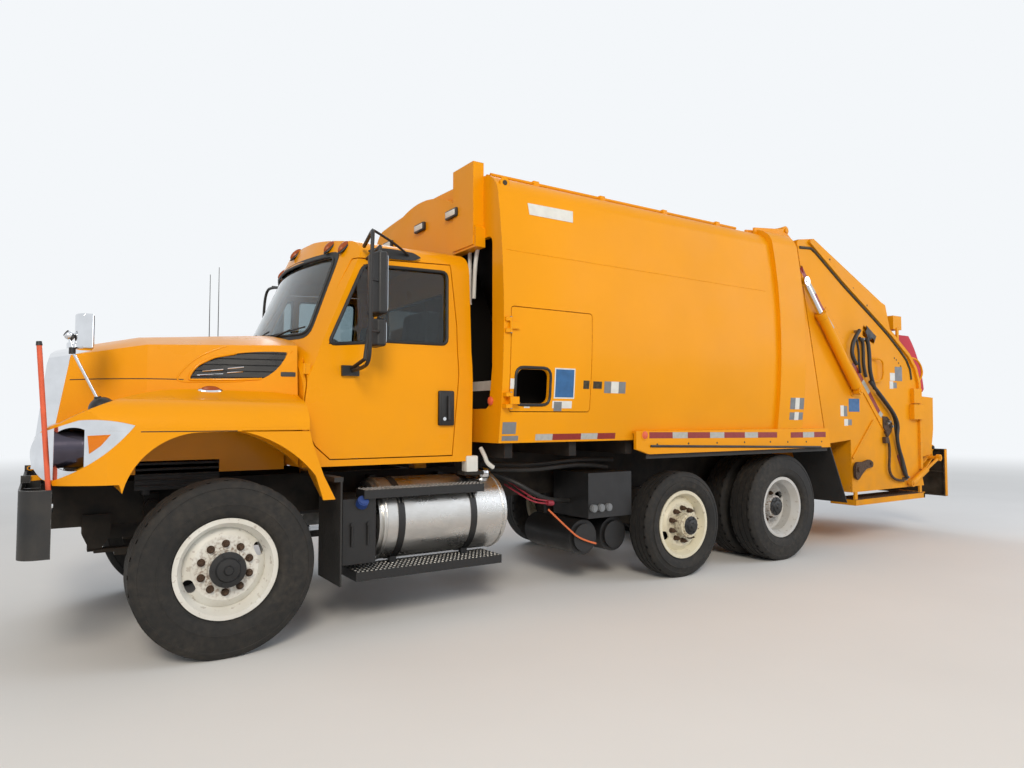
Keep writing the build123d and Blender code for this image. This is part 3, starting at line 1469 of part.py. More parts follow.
def lamp_face(trim):
    """Headlamp outline in (x, z), seen from the side: it takes in the fender's whole nose."""
    face = outline(
        (at(1010), 1080),
        (at(1010), 1300),
        ((at(895), 1352), (at(768), 1401)),
        ((at(620), 1398), (at(503), 1372)),
        ((at(684), 1188), (at(872), 1080)),
    )
    return offset(face, amount=-trim, kind=Kind.INTERSECTION) if trim else face


def nose_zone(trim):
    """Everything ahead of the line where the bright nose begins, trimmed behind and aside."""
    rear = [(x + trim, z) for x, z in NOSE_REAR]
    face = make_face(Polyline(
        (rear[0][0], HOOD_CUT_Z - 100),
        *rear,
        (rear[-1][0], 2200),
        (at(1200), 2200),
        (at(1200), HOOD_CUT_Z - 100),
        close=True,
    ))
    return side_prism(face, -NOSE_HALF_WIDTH + trim, NOSE_HALF_WIDTH - trim)


def nose_side(inset):
    """Raked front of the nose as a long prism, drawn in by a distance."""
    face = make_face(Polyline(
        (at(500), 900),
        (NOSE_FRONT[0][0] + 21, 900),
        *NOSE_FRONT,
        (at(500), 2250),
        close=True,
    ))
    if inset:
        face = offset(face, amount=-inset, kind=Kind.INTERSECTION)
    return side_prism(face, -700, 700)


def hood_forms():
    """Hood and fenders as closed forms: the outer skin and the hollow inside it."""
    outer = hood_middle(0, 0) + both_sides(fender_form(0))
    inner = hood_middle(HOOD_WALL, 60) + both_sides(fender_form(HOOD_WALL))
    return outer, inner


def hood():
    """Tilting hood and fenders, open below and behind, nose, lamps and vents cut out."""
    outer, inner = hood_forms()
    shell = outer - inner - arch_cut()
    shell -= both_sides(side_prism(lamp_face(0), NOSE_HALF_WIDTH, 1250))
    shell -= nose_zone(0)
    shell -= both_sides(side_prism(vent_face(0), 500, 1200))
    liner = side_prism(outline(
        (at(560), HOOD_CUT_Z),
        (HOOD_REAR_X - 50, HOOD_CUT_Z),
        (HOOD_REAR_X - 50, 2100),
        (at(560), 2100),
    ), 600, 612)
    shell += both_sides(liner & hood_middle(HOOD_WALL / 2, 0))
    shell += both_sides(hood_ear())
    high = TAIL_SEAM_Z + TAIL_GAP / 2
    shell -= both_sides(block(at(-700), at(-60), CAB_HALF_WIDTH - 60, 1300, 500, high))
    shell -= block(at(-900), HOOD_REAR_X, -CAB_HALF_WIDTH - 4, CAB_HALF_WIDTH + 4, 600, 2200)
    return shell - windscreen_clearance()


def hood_ear():
    """Left pivot ear and its root on the strip below the headlamp."""
    ear = side_prism(outline(
        (at(840), HOOD_CUT_Z + 4),
        (HOOD_PIVOT_X, HOOD_PIVOT_Z - 16),
        ((HOOD_PIVOT_X + 16, HOOD_PIVOT_Z), (HOOD_PIVOT_X, HOOD_PIVOT_Z + 16)),
        (at(900), 1078),
        (at(840), 1078),
    ), HOOD_EAR_Y, HOOD_EAR_Y + HOOD_EAR_THICK)
    root = block(at(800), at(885), HOOD_EAR_Y, NOSE_HALF_WIDTH + 80, HOOD_CUT_Z + 4, 1076)
    ear += root & fender_form(0)
    return ear - rod_y(HOOD_PIN_RADIUS + RUNNING_GAP, HOOD_PIVOT_X, HOOD_PIVOT_Z, 400, 600)


def windscreen_clearance():
    """Room for the cowl and the foot of the windscreen behind the hood."""
    rake = math.radians(WINDSCREEN_RAKE)
    base_x, base_z = WINDSCREEN_BASE
    radius = WINDSCREEN_RADIUS + 24
    drum = Pos(base_x - WINDSCREEN_RADIUS * math.cos(rake), 0,
               base_z - WINDSCREEN_RADIUS * math.sin(rake))
    bow = drum * Rot(0, -WINDSCREEN_RAKE, 0) * Cylinder(radius, 4000)
    return bow & block(at(-900), at(0), -1200, 1200, CAB_BELT_Z - 20, 2400)


def vent_face(trim):
    """Side vent outline in (x, z): pointed at the front and at the upper rear."""
    face = outline(
        (at(175), 1652),
        ((at(118), 1742), (at(30), 1800)),
        ((at(-180), 1838), (at(-410), 1845)),
        ((at(-348), 1738), (at(-250), 1665)),
    )
    return offset(face, amount=-trim) if trim else face


def vents():
    """Louvred panels of both sides, sunk a little into the hood."""
    room = side_prism(vent_face(SEATED), 500, 1200)
    panel = hood_middle(15, 0) - hood_middle(HOOD_WALL, 0)
    bars = hood_middle(3, 0) - hood_middle(16, 0)
    pitch = 160 / VENT_SLATS
    louvres = None
    for index in range(VENT_SLATS + 1):
        z = 1676 + index * pitch
        strip = bars & block(at(-450), at(200), 500, 1200, z, z + pitch * 0.4)
        louvres = strip if louvres is None else louvres + strip
    return (panel + louvres) & room


def mirror_foot():
    """Dome under the stalk of the left look-down mirror, seated on the fender."""
    dome = Pos(*MIRROR_FOOT) * Rot(90, 0, 0) * Sphere(MIRROR_FOOT_RADIUS)
    return dome - fender_form(-SEATED)


def hood_trim():
    """Black pieces of the hood: its side vents and the feet of its two mirrors."""
    return both_sides(vents() + mirror_foot())


def lamp_window(grow):
    """Round reflector opening and the amber lens behind it, in (x, z)."""
    barrel = outline(
        (at(866), 1150),
        (at(866), 1334),
        ((at(800), 1362), (at(741), 1350)),
        (at(741), 1142),
        ((at(800), 1128), (at(866), 1150)),
    )
    amber = outline((at(726), 1316), (at(622), 1322), (at(719), 1222))
    if grow:
        barrel = offset(barrel, amount=grow, kind=Kind.INTERSECTION)
        amber = offset(amber, amount=grow, kind=Kind.INTERSECTION)
    return barrel, amber


def headlamps():
    """Lamp units that form the fenders' noses: bezel, round reflector and amber lens."""
    unit = side_prism(lamp_face(SEATED), NOSE_HALF_WIDTH + SEATED, 1250)
    bezel = (fender_form(0) - fender_form(LAMP_WALL)) & unit
    barrel, amber = lamp_window(0)
    bezel -= side_prism(barrel, 700, 1250)
    bezel -= side_prism(amber, 700, 1250)
    reflector = rod_x(104, 1000, 1246, at(715), at(880)) & fender_form(10) & unit
    lens = side_prism(lamp_window(-SEATED)[1], 700, 1250)
    lens = lens & (fender_form(4) - fender_form(LAMP_WALL - 10))
    lamp = bezel + reflector - hood_middle(-SEATED, 0)
    return both_sides(lamp) + both_sides(lens)


def grille_face(trim):
    """Grille opening in (y, z), trimmed all round."""
    face = rounded(outline((-470, 1120), (470, 1120), (440, 1740), (-440, 1740)), 60)
    return offset(face, amount=-trim) if trim else face


def grille():
    """Bright nose that wraps the hood's front, with level slats and a centre bar inside."""
    outer, inner = hood_forms()
    nose = (outer & nose_side(0)) - (inner & nose_side(HOOD_WALL))
    nose = nose & nose_zone(SEATED)
    nose -= block(at(500), at(1200), -700, 700, 900, NOSE_FOOT_Z)
    hole = grille_face(48)
    nose -= front_prism(hole, at(780), at(1200))
    grown = front_prism(grille_face(40), at(780), at(1200))
    front = nose_side(14) - nose_side(14 + GRILLE_SLAT_DEPTH)
    low, high = 1180.0, 1690.0
    pitch = (high - low) / GRILLE_SLATS
    for index in range(GRILLE_SLATS):
        z = low + (index + 0.5) * pitch - GRILLE_SLAT_HEIGHT / 2
        slat = block(at(780), at(1100), -480, 480, z, z + GRILLE_SLAT_HEIGHT)
        nose += slat & grown & front
    nose += block(at(780), at(1100), -16, 16, 1120, 1740) & front & grown
    return nose


def hood_mirrors():
    """Two look-down mirrors on bent stalks over the hood's front corners."""
    foot = (at(670), 930.0, 1515.0)
    knee = (at(802), 930.0, 1790.0)
    clamp = (at(820), 922.0, 1876.0)
    stalk = rod_between(8, foot, knee) + rod_between(8, knee, clamp) + Pos(*knee) * Sphere(8)
    stalk += Pos(*clamp) * Sphere(24) + rod_between(10, clamp, (at(760), 920, 1890))
    head = plan_prism(rounded(outline(
        (at(700), 850),
        (at(752), 850),
        ((at(792), 920), (at(752), 990)),
        (at(700), 990),
    ), 14), 1800, 2000)
    ends = head.faces().sort_by(Axis.Z)
    head = fillet(ends[0].edges() + ends[-1].edges(), 12)
    dome = Pos(*MIRROR_FOOT) * Rot(90, 0, 0) * Sphere(MIRROR_FOOT_RADIUS + SEATED)
    return both_sides(stalk + head - dome - fender_form(-SEATED) - hood_middle(-SEATED, 0))


def steering():
    """Knuckles and track rod."""
    left = knuckle()
    write("knuckle_left", left)
    write("knuckle_right", mirror_y(left))
    write("track_rod", track_rod())


def doors():
    """Doors, their panes and their mirrors, left and right."""
    panel = door()
    panes = door_glass()
    mirrors = mirror_set()
    for name, shape in (("door", panel), ("door_glass", panes), ("mirror", mirrors)):
        write(f"{name}_left", shape)
        write(f"{name}_right", mirror_y(shape))


def cylinders():
    """Tailgate lift cylinders, left and right."""
    barrel, rod = lift_cylinder()
    write("lift_barrel_left", barrel)
    write("lift_barrel_right", mirror_y(barrel))
    write("lift_rod_left", rod)
    write("lift_rod_right", mirror_y(rod))


def main():
    """Write every sub-part."""
    wheels()
    steering()
    doors()
    cylinders()
    single = (
        ("front_axle", front_axle),
        ("rear_axles", rear_axles),
        ("suspension", suspension),
        ("chassis_frame", chassis_frame),
        ("body_crossbars", body_crossbars),
        ("front_bumper", front_bumper),
        ("engine_and_gearbox", engine_and_gearbox),
        ("fuel_tank", fuel_tank),
        ("side_boxes", side_boxes),
        ("exhaust", exhaust),
        ("mudflaps", mudflaps),
        ("body_shell", body_shell),
        ("access_door", access_door),
        ("headboard", headboard),
        ("ejector_panel", ejector_panel),
        ("tailgate", tailgate),
        ("packer_slide", packer_slide),
        ("packer_blade", packer_blade),
        ("cart_tipper", cart_tipper),
        ("cab_shell", cab_shell),
        ("cab_glass", cab_glass),
        ("cab_interior", cab_interior),
        ("steering_wheel", steering_wheel),
        ("hood", hood),
        ("headlamps", headlamps),
        ("grille", grille),
        ("hood_mirrors", hood_mirrors),
        ("hood_trim", hood_trim),
    )
    for name, make in single:
        write(name, make())


main()
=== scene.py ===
# %% [markdown]
# # A rear-loading garbage truck
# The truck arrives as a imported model: every plate, wheel and door is in its real place, and each
# one hangs on the body that moves it. This lesson dresses it. We never push a finished part about.
# We give it a surface, and we add what a maker would bolt, clip or stick on afterwards.

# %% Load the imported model
import json
import math

import bmesh
import bpy
from mathutils import Matrix, Vector
from mathutils.bvhtree import BVHTree


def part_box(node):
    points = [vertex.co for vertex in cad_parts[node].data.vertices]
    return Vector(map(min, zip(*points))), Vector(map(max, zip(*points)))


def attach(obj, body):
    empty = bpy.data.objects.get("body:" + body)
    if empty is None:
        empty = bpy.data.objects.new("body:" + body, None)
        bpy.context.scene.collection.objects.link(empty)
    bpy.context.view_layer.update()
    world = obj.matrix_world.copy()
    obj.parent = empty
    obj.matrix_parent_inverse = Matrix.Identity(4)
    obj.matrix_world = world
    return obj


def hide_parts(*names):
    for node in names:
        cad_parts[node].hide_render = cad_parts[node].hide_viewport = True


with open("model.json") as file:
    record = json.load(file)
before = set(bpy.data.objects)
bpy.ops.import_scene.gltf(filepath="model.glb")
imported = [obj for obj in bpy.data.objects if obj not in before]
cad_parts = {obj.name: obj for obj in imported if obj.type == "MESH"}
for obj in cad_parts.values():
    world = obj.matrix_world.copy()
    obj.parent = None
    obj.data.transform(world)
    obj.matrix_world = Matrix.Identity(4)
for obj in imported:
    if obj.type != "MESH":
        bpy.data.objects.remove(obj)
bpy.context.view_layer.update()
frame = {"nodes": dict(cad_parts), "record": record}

NODES = frame["nodes"]
JOINTS = {joint["name"]: joint for joint in frame["record"]["behaviour"]["joints"]}
AXLE_X = JOINTS["steer_left"]["pos_m"][0]
SIDES = {"left": 1, "right": -1}
print("nodes", len(NODES), "front axle at", AXLE_X)


def at(distance):
    """Place along the truck, measured from the front axle, forward positive."""
    return AXLE_X + distance


# %% [markdown]
# ## The camera
# The camera stands off the left front wheel, 1.42 m up, and is turned towards the tail. Its lens is
# short and close, which is why the front wheel looks so large.

# %% Camera
CAMERA_PLACE = (at(0.928), 5.595, 1.422)
CAMERA_TURN = math.radians(33.4)
CAMERA_TILT = math.radians(2.62)
PICTURE_WIDTH = 1024
LENS_PIXELS = 710.0
SENSOR = 36.0

camera_data = bpy.data.cameras.new("camera")
camera_data.sensor_width = SENSOR
camera_data.lens = LENS_PIXELS * SENSOR / PICTURE_WIDTH
camera = bpy.data.objects.new("camera", camera_data)
camera.location = CAMERA_PLACE
camera.rotation_euler = (math.pi / 2 + CAMERA_TILT, 0, math.pi - CAMERA_TURN)
bpy.context.scene.collection.objects.link(camera)
bpy.context.scene.camera = camera
bpy.context.scene.view_settings.view_transform = "Standard"
print("lens", round(camera_data.lens, 2), "mm")

# %% [markdown]
# ## Colour and nodes
# A colour is easiest to give as it looks on screen, from 0 to 255. Blender counts light, so the
# helper turns one into the other. Another helper adds a node and fills its sockets: a number is
# set on the socket, and another node's output is linked to it.


# %% Colour and node helpers
def shade(red, green, blue):
    """Screen colour, 0 to 255, as the linear colour that a shader wants."""
    linear = [((value / 255 + 0.055) / 1.055) ** 2.4 if value > 10 else value / 3295
              for value in (red, green, blue)]
    return (*linear, 1.0)


def add_node(tree, kind, settings=None, inputs=None):
    """New shader node, its settings made and its sockets filled or linked."""
    node = tree.nodes.new("ShaderNode" + kind)
    for name, value in (settings or {}).items():
        setattr(node, name, value)
    for name, value in (inputs or {}).items():
        if isinstance(value, bpy.types.NodeSocket):
            tree.links.new(value, node.inputs[name])
        else:
            node.inputs[name].default_value = value
    return node


def new_material(name):
    """Material with its node tree and its Principled shader."""
    material = bpy.data.materials.new(name)
    material.use_nodes = True
    tree = material.node_tree
    return material, tree, tree.nodes["Principled BSDF"]


def cloud(tree, scale, low=0.4, high=0.6, detail=4.0, stretch=(1, 1, 1)):
    """Patchy mask from 0 to 1: noise in the truck's own coordinates, spread between two levels."""
    place = add_node(tree, "TexCoord").outputs["Object"]
    if stretch != (1, 1, 1):
        place = add_node(tree, "Mapping", inputs={"Vector": place, "Scale": stretch}).outputs[0]
    noise = add_node(tree, "TexNoise", inputs={"Vector": place, "Scale": scale, "Detail": detail})
    spread = add_node(tree, "MapRange", inputs={
        "Value": noise.outputs["Fac"], "From Min": low, "From Max": high})
    return spread.outputs["Result"]


def combine(tree, operation, first, second):
    """One number from two."""
    return add_node(tree, "Math", {"operation": operation}, {0: first, 1: second}).outputs[0]


def blend_colours(tree, mask, first, second):
    """First colour where the mask is 0, second where it is 1."""
    mix = add_node(tree, "MixRGB", inputs={"Fac": mask, "Color1": first, "Color2": second})
    return mix.outputs["Color"]


def near_ground(tree, high, low):
    """Mask that grows from 0 at a height to 1 further down, for road dirt."""
    place = add_node(tree, "TexCoord").outputs["Object"]
    height = add_node(tree, "SeparateXYZ", inputs={"Vector": place}).outputs["Z"]
    return add_node(tree, "MapRange", inputs={
        "Value": height, "From Min": high, "From Max": low}).outputs["Result"]


def sharp_edges(tree, reach):
    """Mask of corners: where a rounded normal leaves the true one, paint rubs off."""
    soft = add_node(tree, "Bevel", {"samples": 4}, {"Radius": reach}).outputs["Normal"]
    true = add_node(tree, "NewGeometry").outputs["Normal"]
    match = add_node(tree, "VectorMath", {"operation": "DOT_PRODUCT"}, {0: soft, 1: true})
    return add_node(tree, "MapRange", inputs={
        "Value": match.outputs["Value"], "From Min": 0.995, "From Max": 0.80}).outputs["Result"]


def add_bump(tree, shader, height, distance, strength=1.0):
    """Raise the surface by a mask, a distance in metres high."""
    bump = add_node(tree, "Bump", inputs={
        "Height": height, "Distance": distance, "Strength": strength})
    tree.links.new(bump.outputs["Normal"], shader.inputs["Normal"])


# %% [markdown]
# ## Paint
# Most of this truck is sheet steel under yellow paint. Real paint is never one colour: it pales
# where the sun has been, greys with road dust low down, and rubs through on corners. Large sheets
# also ripple a little, and that is what makes their reflections look like steel.


# %% Painted steel
DUST = shade(122, 112, 98)
RUST = shade(92, 56, 34)


def painted(name, colour, rough=0.34, coat=0.2, fade=0.93, dust=0.12, dust_from=1.7,
            worn=None, worn_amount=0.5, ripple=0.0):
    """Painted steel: faded patches, dust low down, rubbed corners and a rippled sheet."""
    material, tree, shader = new_material(name)
    faded = tuple(value * fade for value in colour[:3]) + (1.0,)
    base = blend_colours(tree, cloud(tree, 1.1, 0.35, 0.65), colour, faded)
    dirty = combine(tree, "MULTIPLY", near_ground(tree, dust_from, 0.3), cloud(tree, 7.0, 0.3, 0.7))
    dirty = combine(tree, "MULTIPLY", dirty, dust)
    base = blend_colours(tree, dirty, base, DUST)
    if worn is not None:
        chips = combine(tree, "MULTIPLY", sharp_edges(tree, 0.008), cloud(tree, 38.0, 0.45, 0.6))
        base = blend_colours(tree, combine(tree, "MULTIPLY", chips, worn_amount), base, worn)
    tree.links.new(base, shader.inputs["Base Color"])
    dull = add_node(tree, "MapRange", inputs={
        "Value": cloud(tree, 3.0, 0.3, 0.7), "To Min": rough - 0.05, "To Max": rough + 0.09})
    dull = combine(tree, "ADD", dull.outputs["Result"], combine(tree, "MULTIPLY", dirty, 0.8))
    tree.links.new(dull, shader.inputs["Roughness"])
    shader.inputs["Specular IOR Level"].default_value = 0.14
    shader.inputs["Coat Weight"].default_value = coat
    shader.inputs["Coat Roughness"].default_value = 0.12
    if ripple:
        add_bump(tree, shader, cloud(tree, 1.6, 0.3, 0.7, detail=1.5), ripple)
    return material


YELLOW = shade(236, 156, 4)
cab_yellow = painted("cab_yellow", YELLOW, rough=0.30, coat=0.16, fade=0.95, dust=0.10)
body_yellow = painted("body_yellow", YELLOW, rough=0.42, coat=0.05, fade=0.93, dust=0.12,
                      worn=RUST, worn_amount=0.35, ripple=0.006)
gate_yellow = painted("gate_yellow", YELLOW, rough=0.48, coat=0.03, fade=0.90, dust=0.25,
                      worn=RUST, worn_amount=0.75, ripple=0.004)
chassis_black = painted("chassis_black", shade(30, 30, 31), rough=0.5, coat=0.0, dust=0.35,
                        dust_from=1.4, worn=RUST, worn_amount=0.5)
bumper_grey = painted("bumper_grey", shade(48, 50, 53), rough=0.42, coat=0.1, dust=0.2,
                      worn=shade(150, 150, 150), worn_amount=0.5)
# Black paint for the cart tipper; on the ejector panel it is painted shade for the body's dark inside.
tipper_black = painted("tipper_black", shade(34, 32, 30), rough=0.5, coat=0.0, dust=0.3,
                       worn=shade(120, 116, 110), worn_amount=0.9)
engine_grey = painted("engine_grey", shade(58, 58, 60), rough=0.6, coat=0.0, dust=0.4)
faded_red = painted("faded_red", shade(196, 66, 78), rough=0.6, coat=0.0, fade=0.75, dust=0.1,
                    worn=RUST, worn_amount=0.8)

# %% [markdown]
# ## Bare metal, rubber and plastic
# Chrome and tank aluminium differ only in how rough they are and how dull patches lie on them.
# Rubber is nearly black, and what shows on it is dust. These finishes share one short maker.


# %% Plain finishes
def plain(name, colour, rough, metal=0.0, patch=0.85, scale=9.0, stretch=(1, 1, 1),
          spread=0.08, grain=0.0, grain_scale=400.0, coat=0.0):
    """Finish with patches of a second shade, varied gloss and, if wanted, a fine grain."""
    material, tree, shader = new_material(name)
    second = tuple(value * patch for value in colour[:3]) + (1.0,)
    patches = cloud(tree, scale, 0.35, 0.65, stretch=stretch)
    tree.links.new(blend_colours(tree, patches, colour, second), shader.inputs["Base Color"])
    gloss = add_node(tree, "MapRange", inputs={
        "Value": patches, "To Min": rough - spread / 2, "To Max": rough + spread})
    tree.links.new(gloss.outputs["Result"], shader.inputs["Roughness"])
    shader.inputs["Metallic"].default_value = metal
    shader.inputs["Coat Weight"].default_value = coat
    if grain:
        add_bump(tree, shader, cloud(tree, grain_scale, 0.3, 0.7, stretch=stretch), grain)
    return material


chrome = plain("chrome", shade(225, 227, 230), 0.07, metal=1.0, patch=0.9, spread=0.05)
tank_metal = plain("tank_metal", shade(214, 213, 210), 0.30, metal=1.0, patch=0.80, scale=5.0,
                   stretch=(1.0, 2.0, 2.0), spread=0.16, grain=0.0004, grain_scale=60.0)
dull_steel = plain("dull_steel", shade(150, 148, 144), 0.45, metal=1.0, patch=0.7, spread=0.2)
rusty_steel = plain("rusty_steel", shade(86, 64, 47), 0.75, metal=0.2, patch=0.5, scale=60.0,
                    grain=0.0006, grain_scale=180.0)
black_plastic = plain("black_plastic", shade(26, 26, 27), 0.45, patch=0.8, grain=0.0002)
grained_plastic = plain("grained_plastic", shade(40, 41, 44), 0.6, patch=0.85, grain=0.0004,
                        grain_scale=260.0)
hose_rubber = plain("hose_rubber", shade(28, 28, 28), 0.55, patch=1.5, scale=20.0)
flap_rubber = plain("flap_rubber", shade(32, 31, 30), 0.7, patch=1.6, scale=6.0, grain=0.001,
                    grain_scale=40.0)
# Black rubber; the tailgate's service opening also uses it as painted shade for its dark inside.
seal_rubber = plain("seal_rubber", shade(18, 18, 18), 0.5, patch=1.3)
blue_plastic = plain("blue_plastic", shade(38, 66, 132), 0.45, patch=0.8)
marker_orange = plain("marker_orange", shade(226, 98, 62), 0.45, patch=0.85, scale=14.0)
label_white = plain("label_white", shade(222, 222, 216), 0.5, patch=0.9, scale=16.0)
label_grey = plain("label_grey", shade(120, 124, 128), 0.5, patch=0.85, scale=16.0)
label_blue = plain("label_blue", shade(38, 96, 150), 0.45, patch=0.8, scale=18.0)
tape_red = plain("tape_red", shade(138, 26, 16), 0.4, patch=0.85, scale=40.0)
tape_white = plain("tape_white", shade(176, 176, 170), 0.4, patch=0.85, scale=40.0)
wire_red = plain("wire_red", shade(158, 44, 62), 0.5, patch=0.7, scale=30.0)
hose_orange = plain("hose_orange", shade(220, 112, 62), 0.5, patch=0.85)
# Dark brown: painted shade on the gate lip, the holes and the lug's eye; a plain dark mark on the two
# small patches by the access door.
scorched = plain("scorched", shade(66, 56, 30), 0.7, patch=0.4, scale=40.0)
# Near-black, darker than the other black plastic: the vent's own black with painted shade for its
# recess.
vent_black = plain("vent_black", shade(12, 12, 13), 0.28, patch=0.7)

# %% [markdown]
# ## Tyres
# A tyre wall is matt and brownish grey where it has been rubbed, and darker in the tread. The dust
# is patchy, so two scales of cloud are multiplied. The wall also has a fine circular grain, but
# that is real geometry here, cut by the profile.


# %% Tyre rubber
def tyre_rubber():
    """Worn black rubber with dry brown dust."""
    material, tree, shader = new_material("tyre_rubber")
    dusty = combine(tree, "MULTIPLY", cloud(tree, 3.0, 0.3, 0.7), cloud(tree, 24.0, 0.3, 0.75))
    worn = blend_colours(tree, cloud(tree, 5.0, 0.3, 0.7), shade(16, 16, 16), shade(24, 23, 22))
    tree.links.new(blend_colours(tree, combine(tree, "MULTIPLY", dusty, 0.45), worn,
                                 shade(74, 67, 58)), shader.inputs["Base Color"])
    shader.inputs["Roughness"].default_value = 0.78
    add_bump(tree, shader, cloud(tree, 140.0, 0.3, 0.7), 0.0008)
    return material


tyre_black = tyre_rubber()

# %% [markdown]
# ## Wheel paint
# The steel discs are painted white, and rust creeps out from the hub and the nuts. The mask is the
# distance from the axle, so each pair of wheels needs its own axle place, and a little noise
# breaks the ring up.


# %% Wheel paint
def wheel_paint(name, centre_x, centre_z, colour, rust_reach, rust_amount):
    """Disc paint with rust spreading from the hub of the axle at that place."""
    material, tree, shader = new_material(name)
    place = add_node(tree, "TexCoord").outputs["Object"]
    from_axle = add_node(tree, "VectorMath", {"operation": "SUBTRACT"}, {
        0: place, 1: (centre_x, 0, centre_z)}).outputs[0]
    level = add_node(tree, "VectorMath", {"operation": "MULTIPLY"}, {0: from_axle, 1: (1, 0, 1)})
    far = add_node(tree, "VectorMath", {"operation": "LENGTH"}, {0: level.outputs[0]})
    ring = add_node(tree, "MapRange", inputs={
        "Value": far.outputs["Value"], "From Min": rust_reach, "From Max": rust_reach * 0.6})
    specks = combine(tree, "MULTIPLY", ring.outputs["Result"], cloud(tree, 55.0, 0.46, 0.64))
    chips = combine(tree, "MULTIPLY", cloud(tree, 30.0, 0.62, 0.68), 0.35)
    rust = combine(tree, "MAXIMUM", combine(tree, "MULTIPLY", specks, rust_amount), chips)
    dusty = blend_colours(tree, combine(tree, "MULTIPLY", cloud(tree, 6.0, 0.3, 0.7), 0.35),
                          colour, shade(176, 166, 148))
    tree.links.new(blend_colours(tree, rust, dusty, shade(112, 78, 48)), shader.inputs["Base Color"])
    shader.inputs["Roughness"].default_value = 0.42
    shader.inputs["Coat Weight"].default_value = 0.15
    return material


# the wheels' body, the tyres' node and the rims' node; braces stand for left or right
WHEEL_NAMES = {
    "front": ("front_wheel_{}", "front_tyre_{}", "front_rim_{}"),
    "pusher": ("pusher_wheel_{}", "pusher_tyre_{}", "pusher_rim_{}"),
    "drive": ("drive_wheels_{}", "drive_tyres_{}", "drive_rims_{}"),
}
WHEELS = {}
for row, (body, _, _) in WHEEL_NAMES.items():
    x, _, z = JOINTS[body.format("left") + "_spin"]["pos_m"]
    WHEELS[row] = (x, z)
front_white = wheel_paint("front_white", *WHEELS["front"], shade(226, 226, 220), 0.20, 0.8)
pusher_cream = wheel_paint("pusher_cream", *WHEELS["pusher"], shade(222, 216, 192), 0.20, 0.6)
drive_grey = wheel_paint("drive_grey", *WHEELS["drive"], shade(196, 197, 196), 0.24, 0.9)

# %% [markdown]
# ## Glass and lenses
# Cab glass is clear with a grey tint: it lets the seats show and still mirrors the sky a little.
# Lenses let less light through, so they read as coloured plastic.


# %% Glass and lenses
def clear(name, colour, rough=0.0, through=1.0, refraction=1.45):
    """Clear material that light passes through."""
    material, tree, shader = new_material(name)
    smear = blend_colours(tree, cloud(tree, 2.5, 0.4, 0.7), colour,
                          tuple(value * 0.9 for value in colour[:3]) + (1.0,))
    tree.links.new(smear, shader.inputs["Base Color"])
    shader.inputs["Roughness"].default_value = rough
    shader.inputs["Transmission Weight"].default_value = through
    shader.inputs["IOR"].default_value = refraction
    shader.inputs["Specular IOR Level"].default_value = 0.25
    return material


window_glass = clear("window_glass", shade(176, 190, 194))
amber_lens = clear("amber_lens", shade(250, 140, 20), 0.12, 0.35)
red_lens = clear("red_lens", shade(170, 18, 14), 0.12, 0.3)
dull_amber = clear("dull_amber", shade(178, 88, 34), 0.25, 0.25)
mirror_glass = plain("mirror_glass", shade(200, 205, 210), 0.03, metal=1.0, patch=0.95, spread=0.02)
lamp_grey = plain("lamp_grey", shade(84, 80, 92), 0.18, metal=0.9, patch=0.8, scale=12.0)

# %% [markdown]
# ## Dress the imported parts
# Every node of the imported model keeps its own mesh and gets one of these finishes. Braces in a name
# stand for left or right.

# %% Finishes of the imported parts
FINISHES = {
    cab_yellow: "cab_shell door_{} hood",
    body_yellow: "body_shell access_door headboard",
    gate_yellow: "tailgate lift_barrel_{} packer_slide",
    chassis_black: "chassis_frame body_crossbars front_axle rear_axles suspension knuckle_{} track_rod",
    engine_grey: "engine_and_gearbox",
    bumper_grey: "front_bumper",
    tank_metal: "fuel_tank",
    black_plastic: "side_boxes mirror_{} steering_wheel",
    vent_black: "hood_trim",
    grained_plastic: "cab_interior",
    dull_steel: "exhaust",
    flap_rubber: "mudflaps",
    faded_red: "packer_blade",
    # the ejector panel is dark as painted shade for the body's dark inside behind its front opening
    tipper_black: "cart_tipper ejector_panel",
    window_glass: "cab_glass door_glass_{}",
    chrome: "grille hood_mirrors headlamps lift_rod_{}",
    front_white: "front_rim_{}",
    pusher_cream: "pusher_rim_{}",
    drive_grey: "drive_rims_{}",
    tyre_black: "front_tyre_{} pusher_tyre_{} drive_tyres_{}",
}
dressed = set()
for finish, names in FINISHES.items():
    for name in {title.format(side_name) for title in names.split() for side_name in SIDES}:
        NODES[name].data.materials.clear()
        NODES[name].data.materials.append(finish)
        dressed.add(name)
print("dressed", len(dressed), "left bare", sorted(set(NODES) - dressed))

# %% [markdown]
# ## Shaping tools
# A piece is made of parts, and each part is one of the tools below: a block, a rod, a plate, a turned
# profile or a tube. The `part` wrapper lets a tool be written down with its values now and wait
# for its bmesh. A plain triple is a place measured from the front axle, and a Vector is a place in
# the truck's frame. Parts are written for the left side, and `pair` mirrors them to the right.


# %% Shaping tools
SMOOTH_BELOW = math.radians(35)
OUT = Vector((0, 1, 0))


def spot(place):
    """Vector in the truck's frame; a plain triple is measured from the front axle."""
    return place.copy() if isinstance(place, Vector) else Vector((at(place[0]), *place[1:]))


def part(tool):
    """Let a tool be called with its values now and with its bmesh later."""
    def with_values(*values, **options):
        return lambda bm: tool(bm, *values, **options)
    return with_values


